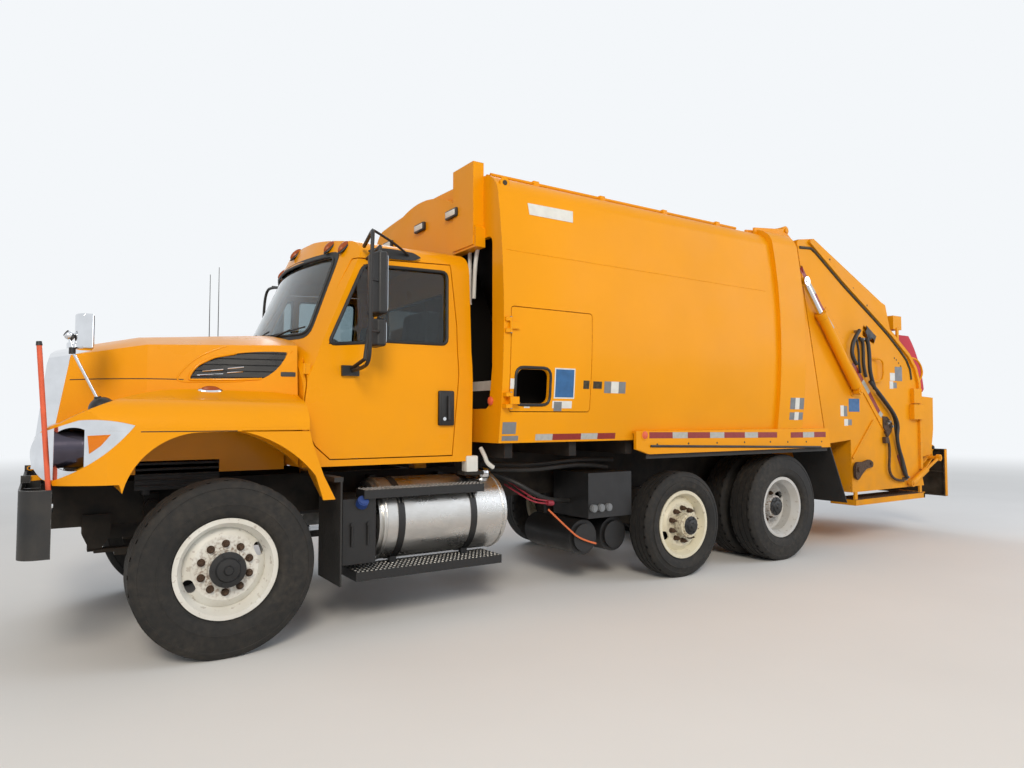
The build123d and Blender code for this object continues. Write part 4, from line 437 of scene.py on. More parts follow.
def build(name, material, body, *parts, slot=None, side=1):
    """Piece that rides on a body, made of parts; side -1 mirrors it to the right."""
    bm = bmesh.new()
    for add_to in parts:
        add_to(bm)
    bmesh.ops.scale(bm, vec=(1, side, 1), verts=bm.verts)
    bmesh.ops.recalc_face_normals(bm, faces=bm.faces)
    mesh = bpy.data.meshes.new(name)
    bm.to_mesh(mesh)
    bm.free()
    mesh.materials.append(material)
    mesh.shade_smooth()
    mesh.set_sharp_from_angle(angle=SMOOTH_BELOW)
    piece = bpy.data.objects.new(name, mesh)
    bpy.context.scene.collection.objects.link(piece)
    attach(piece, body)
    return piece


def pair(name, material, body, *parts, slot=None):
    """The same piece on both sides; braces in the two names stand for left or right."""
    return [build(name.format(side_name), material, body.format(side_name), *parts, slot=slot,
                  side=side) for side_name, side in SIDES.items()]


def pour(one, bm):
    """Add one bmesh to another and free it."""
    bmesh.ops.recalc_face_normals(one, faces=one.faces)
    mesh = bpy.data.meshes.new("part")
    one.to_mesh(mesh)
    one.free()
    bm.from_mesh(mesh)
    bpy.data.meshes.remove(mesh)


@part
def block(bm, low, high, bevel):
    """Box between two corners, its edges rounded."""
    low, high = spot(low), spot(high)
    verts = bmesh.ops.create_cube(bm, size=1.0)["verts"]
    bmesh.ops.scale(bm, vec=high - low, verts=verts)
    bmesh.ops.translate(bm, vec=(low + high) / 2, verts=verts)
    edges = list({edge for vert in verts for edge in vert.link_edges})
    bmesh.ops.bevel(bm, geom=edges, offset=bevel, affect="EDGES", segments=2, profile=0.5,
                    material=-1)


@part
def rod(bm, start, end, radius, tip=None, sides=16):
    """Rod or cone between two places."""
    start, end = spot(start), spot(end)
    span = end - start
    turn = span.to_track_quat("Z", "Y").to_matrix().to_4x4()
    bmesh.ops.create_cone(bm, cap_ends=True, segments=sides, radius1=radius,
                          radius2=radius if tip is None else tip, depth=span.length,
                          matrix=Matrix.Translation((start + end) / 2) @ turn)


@part
def ball(bm, centre, radius):
    """Round ball."""
    bmesh.ops.create_uvsphere(bm, u_segments=20, v_segments=12, radius=radius,
                              matrix=Matrix.Translation(spot(centre)))


@part
def dome(bm, place, normal, size):
    """Half-sunk ball facing along a normal; size is its half width, half height and rise."""
    turn = Vector(normal).to_track_quat("Z", "Y").to_matrix().to_4x4()
    shape = Matrix.Translation(place) @ turn @ Matrix.Diagonal((*size, 1.0))
    bmesh.ops.create_uvsphere(bm, u_segments=24, v_segments=12, radius=1.0, matrix=shape)


@part
def turned(bm, profile, centre, steps=64):
    """Lathe a profile of (radius, place outwards) about an axle along Y."""
    verts = [bm.verts.new(centre + Vector((radius, out, 0))) for radius, out in profile]
    edges = [bm.edges.new(ends) for ends in zip(verts, verts[1:])]
    bmesh.ops.spin(bm, geom=verts + edges, cent=centre, axis=(0, 1, 0), angle=2 * math.pi,
                   steps=steps, use_merge=True)
    bmesh.ops.remove_doubles(bm, verts=bm.verts, dist=0.00002)


@part
def tubes(bm, routes, radius, smooth=True, closed=False):
    """Tubes along given routes, open or closed."""
    curve = bpy.data.curves.new("route", "CURVE")
    curve.dimensions = "3D"
    curve.bevel_depth = radius
    curve.bevel_resolution = 3
    curve.resolution_u = 8
    curve.use_fill_caps = True
    for route in routes:
        spline = curve.splines.new("NURBS" if smooth else "POLY")
        spline.points.add(len(route) - 1)
        for point, place in zip(spline.points, route):
            point.co = (*spot(place), 1.0)
        spline.use_cyclic_u = closed
        if smooth:
            spline.order_u = 3
            spline.use_endpoint_u = not closed
    holder = bpy.data.objects.new("route", curve)
    mesh = bpy.data.meshes.new_from_object(holder)
    bpy.data.objects.remove(holder)
    bm.from_mesh(mesh)
    bpy.data.meshes.remove(mesh)


# %% [markdown]
# ## Outlines and thin sheets
# Window rubbers, lamp bezels and labels all start from an outline. The load body bulges, so a label
# can't sit at one fixed Y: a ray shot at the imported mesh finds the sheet, as a fitter's hand would,
# and the piece is laid on what it hits.


# %% Outline and sheet tools
FAR = 3.0


def surface(*names):
    """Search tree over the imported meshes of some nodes."""
    corners, faces = [], []
    for name in names:
        mesh = NODES[name].data
        first = len(corners)
        corners += [vert.co.copy() for vert in mesh.vertices]
        faces += [[first + index for index in polygon.vertices] for polygon in mesh.polygons]
    return BVHTree.FromPolygons(corners, faces)


def seat(tree, start, direction):
    """Place and normal where a ray from outside first meets the surface."""
    place, normal, _, _ = tree.ray_cast(Vector(start), Vector(direction))
    return place, normal


def on_side(tree, x, z, lift=0.0, side=1):
    """Place on one side of the truck at a distance from the front axle, lifted off the sheet."""
    place, _ = seat(tree, (at(x), FAR * side, z), (0, -side, 0))
    if place is None:
        place = tree.find_nearest(Vector((at(x), 1.1 * side, z)))[0]
    return Vector((at(x), place.y + lift * side, z))


def along(tree, outline, lift=0.0, side=1):
    """Outline of (x, z) pairs laid on one side of the truck."""
    return [on_side(tree, x, z, lift, side) for x, z in outline]


def soft_loop(corners, radius, steps=4):
    """Closed outline with every corner rounded off."""
    loop = []
    corners = [Vector(corner) for corner in corners]
    for index, corner in enumerate(corners):
        start = corner + (corners[index - 1] - corner).normalized() * radius
        end = corner + (corners[(index + 1) % len(corners)] - corner).normalized() * radius
        for step in range(steps + 1):
            share = step / steps
            loop.append(start.lerp(corner, share).lerp(corner.lerp(end, share), share))
    return loop


def thicken(bm, faces, push):
    """Push a copy of the faces along, so that a sheet becomes a plate."""
    grown = bmesh.ops.extrude_face_region(bm, geom=faces)["geom"]
    bmesh.ops.translate(bm, vec=push, verts=[item for item in grown
                                             if isinstance(item, bmesh.types.BMVert)])


@part
def sheet(bm, loop, push):
    """Plate inside a closed outline."""
    thicken(bm, [bm.faces.new([bm.verts.new(place) for place in loop])], push)


@part
def border(bm, outer, inner, push):
    """Plate between two closed outlines, such as the black band round a windscreen."""
    edges = []
    for loop in (outer, inner):
        verts = [bm.verts.new(place) for place in loop]
        edges += [bm.edges.new((verts[index - 1], verts[index])) for index in range(len(verts))]
    filled = bmesh.ops.triangle_fill(bm, edges=edges, use_beauty=True)["geom"]
    thicken(bm, [item for item in filled if isinstance(item, bmesh.types.BMFace)], push)


@part
def draped(bm, tree, outline, lift, cuts=2, depth=0.003):
    """Sheet with an outline of (x, z) pairs, laid on the truck's left side."""
    one = bmesh.new()
    face = one.faces.new([one.verts.new((at(x), FAR, z)) for x, z in outline])
    bmesh.ops.triangulate(one, faces=[face])
    bmesh.ops.subdivide_edges(one, edges=one.edges, cuts=cuts, use_grid_fill=True)
    for vert in one.verts:
        place, _ = seat(tree, vert.co, (0, -1, 0))
        vert.co.y = (place or tree.find_nearest(vert.co)[0]).y + lift
    thicken(one, list(one.faces), (0, -(lift + depth), 0))
    pour(one, bm)


@part
def patch(bm, tree, front, back, low, high, lift, drop=0.0, steps=(5, 3)):
    """Thin sheet laid on the left side between two stations and two heights; its rear may drop."""
    one = bmesh.new()
    bmesh.ops.create_grid(one, x_segments=steps[0], y_segments=steps[1], size=0.5)
    for vert in one.verts:
        back_share, up_share = vert.co.x + 0.5, vert.co.y + 0.5
        vert.co = on_side(tree, front + (back - front) * back_share,
                          low + (high - low) * up_share - drop * back_share, lift)
    thicken(one, list(one.faces), (0, -lift, 0))
    pour(one, bm)


BODY_SIDE = surface("body_shell", "access_door")
GATE_SIDE = surface("tailgate")
HOOD_SKIN = surface("hood", "cab_shell")

# %% [markdown]
# ## Tyres
# A tyre is a turned profile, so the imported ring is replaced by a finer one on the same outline:
# bead ring, sidewall ribs, shoulder and grooved tread. The shoulder's cross cuts come afterwards,
# by pushing in every fourth face of the turn.

# %% Tyre shape
TYRE_STEPS = 132
GROOVE_DEPTH = 0.010
GROOVE_HALF = 0.005
GROOVES = (0.30, 0.10, -0.10, -0.30)
CUT_EVERY = 4
CUT_DEPTH = 0.006
TREAD_INSET = 0.038
RIM_EDGE = 0.298
# (radius from the rim's edge, place from the tyre's half width)
BEAD = ((0.012, -0.022), (0.022, -0.014), (0.026, -0.010), (0.045, -0.004), (0.078, 0.0),
        (0.080, 0.002), (0.086, 0.002), (0.088, 0.0))
# (radius from the tread, place from the tyre's half width)
SHOULDER = ((0.085, -0.003), (0.060, -0.007), (0.046, -0.009), (0.043, -0.006), (0.034, -0.008),
            (0.026, -0.014), (0.014, -0.020), (0.003, -0.030))


def tyre_profile(radius, width):
    """Closed outline of a tyre, from the outer bead round the tread to the inner one and back."""
    half = width / 2
    wall = [(RIM_EDGE - 0.012, 0.098), (RIM_EDGE + 0.006, 0.104)]
    wall += [(RIM_EDGE + rise, half + out) for rise, out in BEAD]
    wall += [(radius - fall, half + out) for fall, out in SHOULDER]
    tread = [(radius, half - TREAD_INSET)]
    for place in GROOVES:
        groove, bottom = place * width, radius - GROOVE_DEPTH
        tread += [(radius, groove + GROOVE_HALF), (bottom, groove + GROOVE_HALF * 0.6),
                  (bottom, groove - GROOVE_HALF * 0.6), (radius, groove - GROOVE_HALF)]
    tread.append((radius, -half + TREAD_INSET))
    return wall + tread + [(rise, -out) for rise, out in reversed(wall)] + wall[:1]


@part
def tyre(bm, centre, radius, width):
    """One closed tyre at a wheel's centre, its shoulders cut across."""
    one = bmesh.new()
    turned(tyre_profile(radius, width), centre, TYRE_STEPS)(one)
    cuts = []
    for face in one.faces:
        middle = face.calc_center_median() - centre
        if middle.xz.length < radius - 0.004:
            continue
        if width * GROOVES[0] + GROOVE_HALF < abs(middle.y) < width / 2 - 0.028:
            turn = math.atan2(middle.z, middle.x) / (2 * math.pi) * TYRE_STEPS
            if round(turn - 0.5) % CUT_EVERY == 0:
                cuts.append(face)
    for face in bmesh.ops.extrude_discrete_faces(one, faces=cuts)["faces"]:
        for vert in face.verts:
            out = vert.co - centre
            out.y = 0
            vert.co -= out.normalized() * CUT_DEPTH
    pour(one, bm)


TYRE_GAP = 0.002
for row, width in (("front", 0.284), ("pusher", 0.256), ("drive", 0.284)):
    body, node, _ = WHEEL_NAMES[row]
    low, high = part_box(node.format("left"))
    x, z = WHEELS[row]
    places = [high[1] - width / 2 - TYRE_GAP]
    if row == "drive":
        places.append(low[1] + width / 2 + TYRE_GAP)
    made = pair(row + "_tyre_tread_{}", tyre_black, body,
                *[tyre(Vector((x, y, z)), z, width) for y in places], slot="tyre_black")
    for piece, side_name in zip(made, SIDES):
        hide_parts(node.format(side_name))
print("tyres made")

# %% [markdown]
# ## Nuts, studs and hub caps
# Each wheel has ten studs on a 285.75 mm circle. The front nuts are plain, the pusher's carry tall
# pointed covers, and the drive studs hide inside the deep disc. A nut is a six-sided rod with a
# washer under it.

# %% Wheel fastenings
STUDS = 10
STUD_CIRCLE = 0.28575 / 2
NUT_HEIGHT = 0.024
COVER_RIM = 0.012


def around(centre, radius, index, count, y, start=0.0):
    """Place on a circle about the axle."""
    angle = start + 2 * math.pi * index / count
    return Vector((centre[0] + radius * math.cos(angle), y, centre[1] + radius * math.sin(angle)))


def nuts(centre, face_y, stud, pointed):
    """Ring of nuts on a wheel's disc, each with its washer and stud."""
    parts = []
    for index in range(STUDS):
        foot = around(centre, STUD_CIRCLE, index, STUDS, face_y, math.pi / STUDS)
        top, rim = foot + OUT * NUT_HEIGHT, foot + OUT * (NUT_HEIGHT + COVER_RIM)
        parts += [rod(foot - OUT * 0.001, foot + OUT * 0.005, 0.023, sides=20),
                  rod(foot, top, 0.019, 0.017, sides=6)]
        if pointed:
            parts += [rod(top, rim, 0.021, 0.019, sides=12),
                      rod(rim, foot + OUT * stud, 0.017, 0.002, sides=12)]
        else:
            parts.append(rod(foot, foot + OUT * stud, 0.011, 0.010, sides=12))
    return parts


def hub_cap(centre, y, radius, bolts, depth=0.02):
    """Turned cap with a raised middle and a ring of bolts."""
    profile = [(0.0, depth + 0.016), (0.022, depth + 0.016), (0.026, depth + 0.010),
               (0.030, depth + 0.004), (radius * 0.62, depth), (radius * 0.70, depth * 0.4),
               (radius, 0.004), (radius, -0.004)]
    feet = [around(centre, radius * 0.82, index, bolts, y) for index in range(bolts)]
    return [turned(profile, Vector((centre[0], y, centre[1])), 40)] + [
        rod(foot, foot + OUT * 0.012, 0.008, sides=6) for foot in feet]


# row, stud reach, pointed covers, cap radius, cap bolts
for row, stud_reach, pointed, cap_radius, cap_bolts in (
        ("front", 0.034, False, 0.104, 5), ("pusher", 0.075, True, 0.080, 6),
        ("drive", 0.034, False, 0.090, 8)):
    x, z = WHEELS[row]
    body, _, rims = WHEEL_NAMES[row]
    tree = surface(rims.format("left"))
    cap_y = seat(tree, (x + 0.02, FAR, z), (0, -1, 0))[0].y
    disc_y = seat(tree, (x, FAR, z + STUD_CIRCLE), (0, -1, 0))[0].y
    pair(row + "_nuts_{}", rusty_steel, body, *nuts((x, z), disc_y, stud_reach, pointed))
    pair(row + "_hub_cap_{}", black_plastic, body, *hub_cap((x, z), cap_y, cap_radius, cap_bolts))
    print(row, "disc at", round(disc_y, 3), "cap at", round(cap_y, 3))

# %% [markdown]
# ## Door windows, handles and belt line
# Each door has a main pane and a small quarter pane in front of it, with a yellow post between. Both
# panes sit in fat black rubbers. The door leans in above its belt line, so one function gives the
# door skin's place at any height, and the rubbers and the belt crease are laid on it.

# %% Door trim
DOOR_SIDE = 0.978
DOOR_BEND = 1.9
DOOR_LEAN = 0.0567
PANES = (((-1.010, 1.948), (-1.545, 1.952), (-1.560, 2.495), (-1.010, 2.480)),
         ((-0.650, 1.905), (-0.960, 1.935), (-0.960, 2.478), (-0.905, 2.475)))
BELT_CREASE = ((-0.640, 1.663), (-1.100, 1.679), (-1.610, 1.695))


def on_door(x, z, lift=0.0):
    """Place on the left door's skin."""
    return Vector((at(x), DOOR_SIDE - max(z - DOOR_BEND, 0.0) * DOOR_LEAN + lift, z))


rubbers = [soft_loop([on_door(x, z, -0.003) for x, z in pane], 0.05) for pane in PANES]
sharp = [[on_door(x, z, -0.006) for x, z in pane] for pane in PANES]
pair("pane_corners_{}", seal_rubber, "door_{}", *[
    border(soft_loop(pane, 0.008), soft_loop(pane, 0.075), (0, -0.004, 0)) for pane in sharp])
pair("pane_rubbers_{}", seal_rubber, "door_{}", tubes(rubbers, 0.013, smooth=False, closed=True))
pair("door_crease_{}", cab_yellow, "door_{}", tubes([[
    on_door(x, z, -0.0015) for x, z in BELT_CREASE]], 0.004))
pair("handle_plate_{}", black_plastic, "door_{}",
     block((-1.587, 0.990, 1.356), (-1.458, 1.020, 1.610), 0.012),
     block((-1.572, 1.016, 1.372), (-1.474, 1.023, 1.594), 0.003), slot="mirror_black")
pair("handle_grip_{}", grained_plastic, "door_{}",
     rod((-1.534, 1.034, 1.398), (-1.534, 1.034, 1.568), 0.012),
     *[rod((-1.534, 1.012, z), (-1.534, 1.036, z), 0.011) for z in (1.402, 1.564)])
pair("door_lock_{}", chrome, "door_{}",
     rod((-1.500, 1.016, 1.405), (-1.500, 1.029, 1.405), 0.013, sides=20),
     rod((-1.500, 1.026, 1.405), (-1.500, 1.031, 1.405), 0.006, sides=12))
print("door trim made")

# %% [markdown]
# ## Windscreen, rear window and wipers
# The windscreen is part of a drum that leans back, so its black edge band and rubber must bend the
# same way. `on_screen` gives the place on the drum for any height and side; the band and the wipers
# are drawn flat in (y, z) and then laid on it.

# %% Windscreen trim
SCREEN_RADIUS = 2.2
SCREEN_RAKE = math.radians(24.8)
SCREEN_BASE = (-0.370, 1.950)
SCREEN_CORNERS = ((-0.815, 1.985), (0.815, 1.985), (0.715, 2.570), (-0.715, 2.570))
REAR_CORNERS = ((-0.620, 1.960), (0.620, 1.960), (0.600, 2.400), (-0.600, 2.400))
SCREEN_MIDDLE = 2.2
REAR_WALL = -1.752
WIPERS = ((0.34, 0.78), (-0.22, 0.34))


def on_screen(y, z, depth=0.0):
    """Place on the windscreen's drum, a depth below its skin."""
    bow = math.sqrt((SCREEN_RADIUS - depth) ** 2 - y ** 2) - SCREEN_RADIUS
    fall = (z - SCREEN_BASE[1]) * math.sin(SCREEN_RAKE)
    return Vector((at(SCREEN_BASE[0] + (bow - fall) / math.cos(SCREEN_RAKE)), y, z))


def spread_loop(corners, radius, gap=0.06):
    """Rounded outline in a plane, with points no further apart than a gap."""
    loop = soft_loop(corners, radius)
    dense = []
    for index, place in enumerate(loop):
        last = loop[index - 1]
        pieces = max(1, math.ceil((place - last).length / gap))
        dense += [last.lerp(place, step / pieces) for step in range(1, pieces + 1)]
    return dense


def screen_loop(amount, radius, depth):
    """Outline of the windscreen, grown by an amount and laid on the drum at a depth."""
    corners = [(y + math.copysign(amount, y), z + math.copysign(amount, z - SCREEN_MIDDLE))
               for y, z in SCREEN_CORNERS]
    return [on_screen(y, z, depth) for y, z in spread_loop(corners, radius)]


inner = screen_loop(0.0, 0.07, -0.003)
build("screen_surround", seal_rubber, "chassis",
      border(screen_loop(0.034, 0.09, -0.003), inner, (-0.006, 0, 0)))
build("screen_band", black_plastic, "chassis", border(
    screen_loop(0.002, 0.06, 0.010), screen_loop(-0.030, 0.06, 0.010), (-0.003, 0, 0)))
rear = [spot((REAR_WALL, y, z)) for y, z in spread_loop(REAR_CORNERS, 0.06)]
build("screen_rubbers", seal_rubber, "chassis",
      tubes([inner, rear], 0.010, smooth=False, closed=True))
parts = []
for pivot, tip in WIPERS:
    root = on_screen(pivot, 1.958, -0.020)
    parts += [rod(root - Vector((0.02, 0, 0.01)), root + Vector((0.012, 0, 0.006)), 0.016),
              rod(root, on_screen((pivot + tip) / 2 + 0.10, 2.02, -0.028), 0.009, 0.006, sides=10),
              rod(on_screen(pivot - 0.22, 1.990, -0.014), on_screen(tip, 2.035, -0.014), 0.006,
                  sides=8)]
build("wipers", black_plastic, "chassis", *parts)
print("windscreen trim made")

# %% [markdown]
# ## Seats and dashboard
# Behind the tinted glass are two padded seats and a dark dashboard. A seat cushion is a crowned pad
# with rounded edges and sewn channels. It starts as a finely divided block, its corners are relaxed,
# its broad face is pushed out in the middle and the channels are pulled in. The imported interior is
# one plain node, and these pieces stand for it.

# %% Seats and dashboard
seat_cloth = plain("seat_cloth", shade(58, 60, 64), 0.85, patch=0.8, scale=30.0, grain=0.0006,
                   grain_scale=500.0)
DASH_PROFILE = ((-0.528, 1.480), (-0.760, 1.560), (-0.740, 1.860), (-0.640, 1.900), (-0.528, 1.870))
CHANNELS = (-0.5, 0.5)
CHANNEL_DEPTH = 0.012


@part
def pad(bm, low, high, axis, crown, lean=0.0):
    """Padded block, rounded and leant back; its face along an axis is crowned and channelled."""
    one = bmesh.new()
    low, high = spot(low), spot(high)
    half = (high - low) / 2
    bmesh.ops.create_cube(one, size=2.0)
    bmesh.ops.subdivide_edges(one, edges=one.edges, cuts=23, use_grid_fill=True)
    bmesh.ops.scale(one, vec=half, verts=one.verts)
    for _ in range(6):
        bmesh.ops.smooth_vert(one, verts=one.verts, factor=0.5, use_axis_x=True, use_axis_y=True,
                              use_axis_z=True)
    broad = [index for index in range(3) if index != axis]
    for vert in one.verts:
        share = [vert.co[index] / half[index] for index in range(3)]
        swell = max(0.0, 1 - share[broad[0]] ** 2) * max(0.0, 1 - share[broad[1]] ** 2)
        seam = max(math.exp(-((share[1] - place) / 0.05) ** 2) for place in CHANNELS)
        vert.co[axis] += math.copysign(crown * swell, share[axis])
        vert.co[axis] -= math.copysign(CHANNEL_DEPTH * seam * min(1.0, swell * 4), share[axis])
    bmesh.ops.translate(one, vec=(low + high) / 2, verts=one.verts)
    for vert in one.verts:
        vert.co.x -= lean * (vert.co.z - low.z)
    pour(one, bm)


cushions = pair("seat_cushion_{}", seat_cloth, "chassis",
                pad((-1.550, 0.248, 1.425), (-1.090, 0.712, 1.545), 2, 0.014))
backs = pair("seat_back_{}", seat_cloth, "chassis",
             pad((-1.555, 0.258, 1.565), (-1.445, 0.702, 2.240), 0, 0.012, 0.116))
soft = [piece for seat_pads in zip(cushions, backs) for piece in seat_pads]
hard = pair("seat_stand_{}", grained_plastic, "chassis",
            block((-1.540, 0.280, 1.138), (-1.100, 0.680, 1.430), 0.020))
hard.append(build(
    "dashboard", grained_plastic, "chassis",
    sheet(soft_loop([spot((x, -0.715, z)) for x, z in DASH_PROFILE], 0.03), (0, 1.430, 0)),
    block((-0.752, 0.280, 1.800), (-0.640, 0.680, 1.925), 0.020),
    block((-0.764, -0.150, 1.600), (-0.735, 0.180, 1.820), 0.010)))
hard.append(build(
    "steering_column", black_plastic, "chassis",
    rod((-0.700, 0.480, 1.650), (-0.900, 0.480, 1.786), 0.034),
    rod((-0.980, 0.020, 1.140), (-1.050, 0.030, 1.620), 0.014, 0.009),
    ball((-1.052, 0.030, 1.636), 0.028)))
for piece in soft + hard:
    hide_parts("cab_interior")
print("seats and dashboard made")

# %% [markdown]
# ## Cab roof lamps and door mirrors
# Five amber lamps stand along the front of the roof. The roof curves both ways, so each one is
# seated by a ray shot from the front, and tips forward with the sheet. The long mirror heads are
# packed already. A bent tube outside them carries the pair, with a small black eyebrow plate over
# the door, and each head gets its silvered glass facing back.

# %% Roof lamps and mirrors
CAB_SKIN = surface("cab_shell")
ROOF_LAMPS = ((0.0, 2.712), (0.595, 2.662), (-0.595, 2.662), (0.759, 2.635), (-0.759, 2.635))
bases, lenses = [], []
for y, z in ROOF_LAMPS:
    place, normal = seat(CAB_SKIN, (at(1.5), y, z - 0.012), (-1, 0, 0))
    lean = (normal + Vector((0.5, 0, 0.9))).normalized()
    bases.append(dome(place, lean, (0.034, 0.074, 0.014)))
    lenses.append(dome(place + lean * 0.008, lean, (0.026, 0.060, 0.026)))
build("roof_lamp_bases", black_plastic, "chassis", *bases)
build("roof_lamp_lenses", dull_amber, "chassis", *lenses)

MIRROR_TUBE = [(-0.800, 0.985, 1.730), (-0.800, 1.200, 1.735), (-0.800, 1.322, 1.770),
               (-0.800, 1.333, 1.950), (-0.800, 1.334, 2.350), (-0.815, 1.326, 2.610),
               (-0.850, 1.230, 2.650), (-0.900, 0.960, 2.600)]
MIRROR_ARMS = [[(-0.850, 1.232, 2.650), (-1.10, 1.05, 2.63), (-1.235, 0.958, 2.580)],
               [(-0.800, 1.334, 2.300), (-0.850, 1.320, 2.300), (-0.914, 1.260, 2.300)],
               [(-0.800, 1.334, 1.970), (-0.850, 1.320, 1.970), (-0.908, 1.260, 1.970)]]
MIRROR_BROW = ((-0.925, 2.576), (-0.990, 2.606), (-1.120, 2.612), (-1.280, 2.604), (-1.345, 2.574),
               (-1.280, 2.548), (-1.120, 2.540), (-0.990, 2.548))


def pane(x, low_y, high_y, low_z, high_z, radius):
    """Glass of a mirror, 4 mm thick and rounded at its corners, facing back."""
    corners = ((low_y, low_z), (high_y, low_z), (high_y, high_z), (low_y, high_z))
    return sheet(soft_loop([spot((x, y, z)) for y, z in corners], radius), (0.004, 0, 0))


pair("mirror_tube_{}", black_plastic, "door_{}", tubes([MIRROR_TUBE], 0.013))
pair("mirror_arms_{}", black_plastic, "door_{}", tubes(MIRROR_ARMS, 0.009))
pair("mirror_glass_{}", mirror_glass, "door_{}",
     pane(-0.9315, 1.122, 1.308, 2.105, 2.485, 0.03), pane(-0.9315, 1.142, 1.288, 1.895, 2.045, 0.03))
pair("mirror_brow_{}", black_plastic, "door_{}",
     sheet(soft_loop([on_door(x, z, 0.006) for x, z in MIRROR_BROW], 0.02), (0, 0.010, 0)))
print("roof lamps and mirrors made")

# %% [markdown]
# ## Hood seams, vent, badge and lamps
# The hood is moulded in panels, and the joins show as thin dark lines. A round dark line laid just
# proud of the sheet reads the same and needs no cut. The air vent has a moulded rim and bright bars,
# a blank badge stands behind it, and a small domed turn lamp sits on the fender's shoulder. Under
# the headlamp's clear cover a turned barrel closes the round opening beside an amber sheet.

# %% Hood trim
UPPER_SEAM = ((0.80, 1.644), (0.70, 1.649), (0.60, 1.652), (0.50, 1.654), (0.40, 1.655),
              (0.30, 1.655), (0.20, 1.654))
LOWER_SEAM = [(0.475 - 0.0425 * step, 1.337) for step in range(23)]
VENT_RIM = ((0.175, 1.652), (0.158, 1.700), (0.118, 1.750), (0.030, 1.800), (-0.090, 1.826),
            (-0.220, 1.840), (-0.410, 1.845), (-0.372, 1.790), (-0.318, 1.716), (-0.250, 1.665),
            (-0.100, 1.659), (0.040, 1.655))
VENT_CREASE = ((-0.046, 1.876), (0.053, 1.837), (0.142, 1.782), (0.217, 1.700), (0.248, 1.640),
               (0.100, 1.639), (-0.027, 1.641), (-0.224, 1.655), (-0.325, 1.719), (-0.397, 1.796),
               (-0.438, 1.855))
VENT_BARS = (((0.125, 1.683), (-0.026, 1.694)), ((-0.050, 1.702), (-0.143, 1.712)),
             ((0.092, 1.710), (-0.026, 1.722)), ((-0.050, 1.728), (-0.146, 1.741)))
BADGE = ((-0.365, 1.714), (-0.455, 1.714), (-0.455, 1.684), (-0.365, 1.684))
DOME_PLACE = (0.063, 1.586)
AMBER = ((0.728, 1.318), (0.620, 1.324), (0.668, 1.262), (0.718, 1.222))

vent = surface("hood_trim")
place, normal = seat(HOOD_SKIN, (at(DOME_PLACE[0]), FAR, DOME_PLACE[1]), (0, -1, 0))
for side_name, side in SIDES.items():
    seams = [along(HOOD_SKIN, seam, 0.0, side) for seam in (UPPER_SEAM, LOWER_SEAM)]
    build("hood_seams_" + side_name, seal_rubber, "hood", tubes(seams, 0.0028, smooth=False))
pair("vent_rim_{}", cab_yellow, "hood", tubes(
    [soft_loop(along(HOOD_SKIN, VENT_RIM, 0.001), 0.02, 2)], 0.008, smooth=False, closed=True))
pair("vent_crease_{}", cab_yellow, "hood", tubes([along(HOOD_SKIN, VENT_CREASE, -0.002)], 0.006))
pair("vent_bars_{}", chrome, "hood", *[
    rod(*along(vent, ends, 0.003), 0.005, sides=8) for ends in VENT_BARS])
pair("blank_badge_{}", black_plastic, "hood", sheet(
    soft_loop(along(HOOD_SKIN, BADGE, 0.003), 0.006), (0, -0.010, 0)))
pair("side_lamp_base_{}", chrome, "hood", dome(place, normal, (0.074, 0.030, 0.012)))
pair("side_lamp_lens_{}", dull_amber, "hood",
     dome(place + normal * 0.004, normal, (0.056, 0.020, 0.024)))
pair("lamp_barrel_{}", lamp_grey, "hood",
     rod((0.722, 1.000, 1.246), (0.878, 1.000, 1.246), 0.1046, sides=64))
pair("turn_lens_{}", amber_lens, "hood", draped(surface("headlamps"), AMBER, 0.004, cuts=4))
print("hood trim made")

# %% [markdown]
# ## Front mirrors, marker rod, aerials and splash panels
# The small round-cornered mirrors on the fenders look back at the front wheels, so their glass is on
# the rear face. A marker rod at the bumper's left end shows the driver where the corner is. Two whip
# aerials stand on the far side. Above the front wheels a ribbed grey panel keeps the spray off the
# engine, and two brackets hold it on the frame rail.

# %% Front mirrors, marker rod, aerials and splash panels
pair("fender_mirror_glass_{}", mirror_glass, "hood", pane(0.698, 0.866, 0.974, 1.820, 1.980, 0.035))
pair("fender_mirror_clamps_{}", black_plastic, "hood",
     rod((0.796, 0.925, 1.862), (0.836, 0.920, 1.890), 0.019),
     rod((0.802, 0.930, 1.772), (0.802, 0.930, 1.808), 0.017),
     rod((0.668, 0.930, 1.508), (0.674, 0.930, 1.535), 0.024, 0.018))

low, high = spot((0.889, 1.050, 0.933)), spot((0.956, 1.050, 1.802))
up = (high - low).normalized()
build("marker_rod", marker_orange, "chassis", rod(low, high, 0.013))
build("marker_ends", black_plastic, "chassis", rod(high, high + up * 0.022, 0.016, 0.013),
      rod(low - up * 0.02, low + up * 0.05, 0.016))
build("marker_clamp", chrome, "chassis",
      block((0.872, 1.028, 0.934), (0.910, 1.072, 0.958), 0.004),
      rod(low + up * 0.05, low + up * 0.075, 0.018, sides=8))

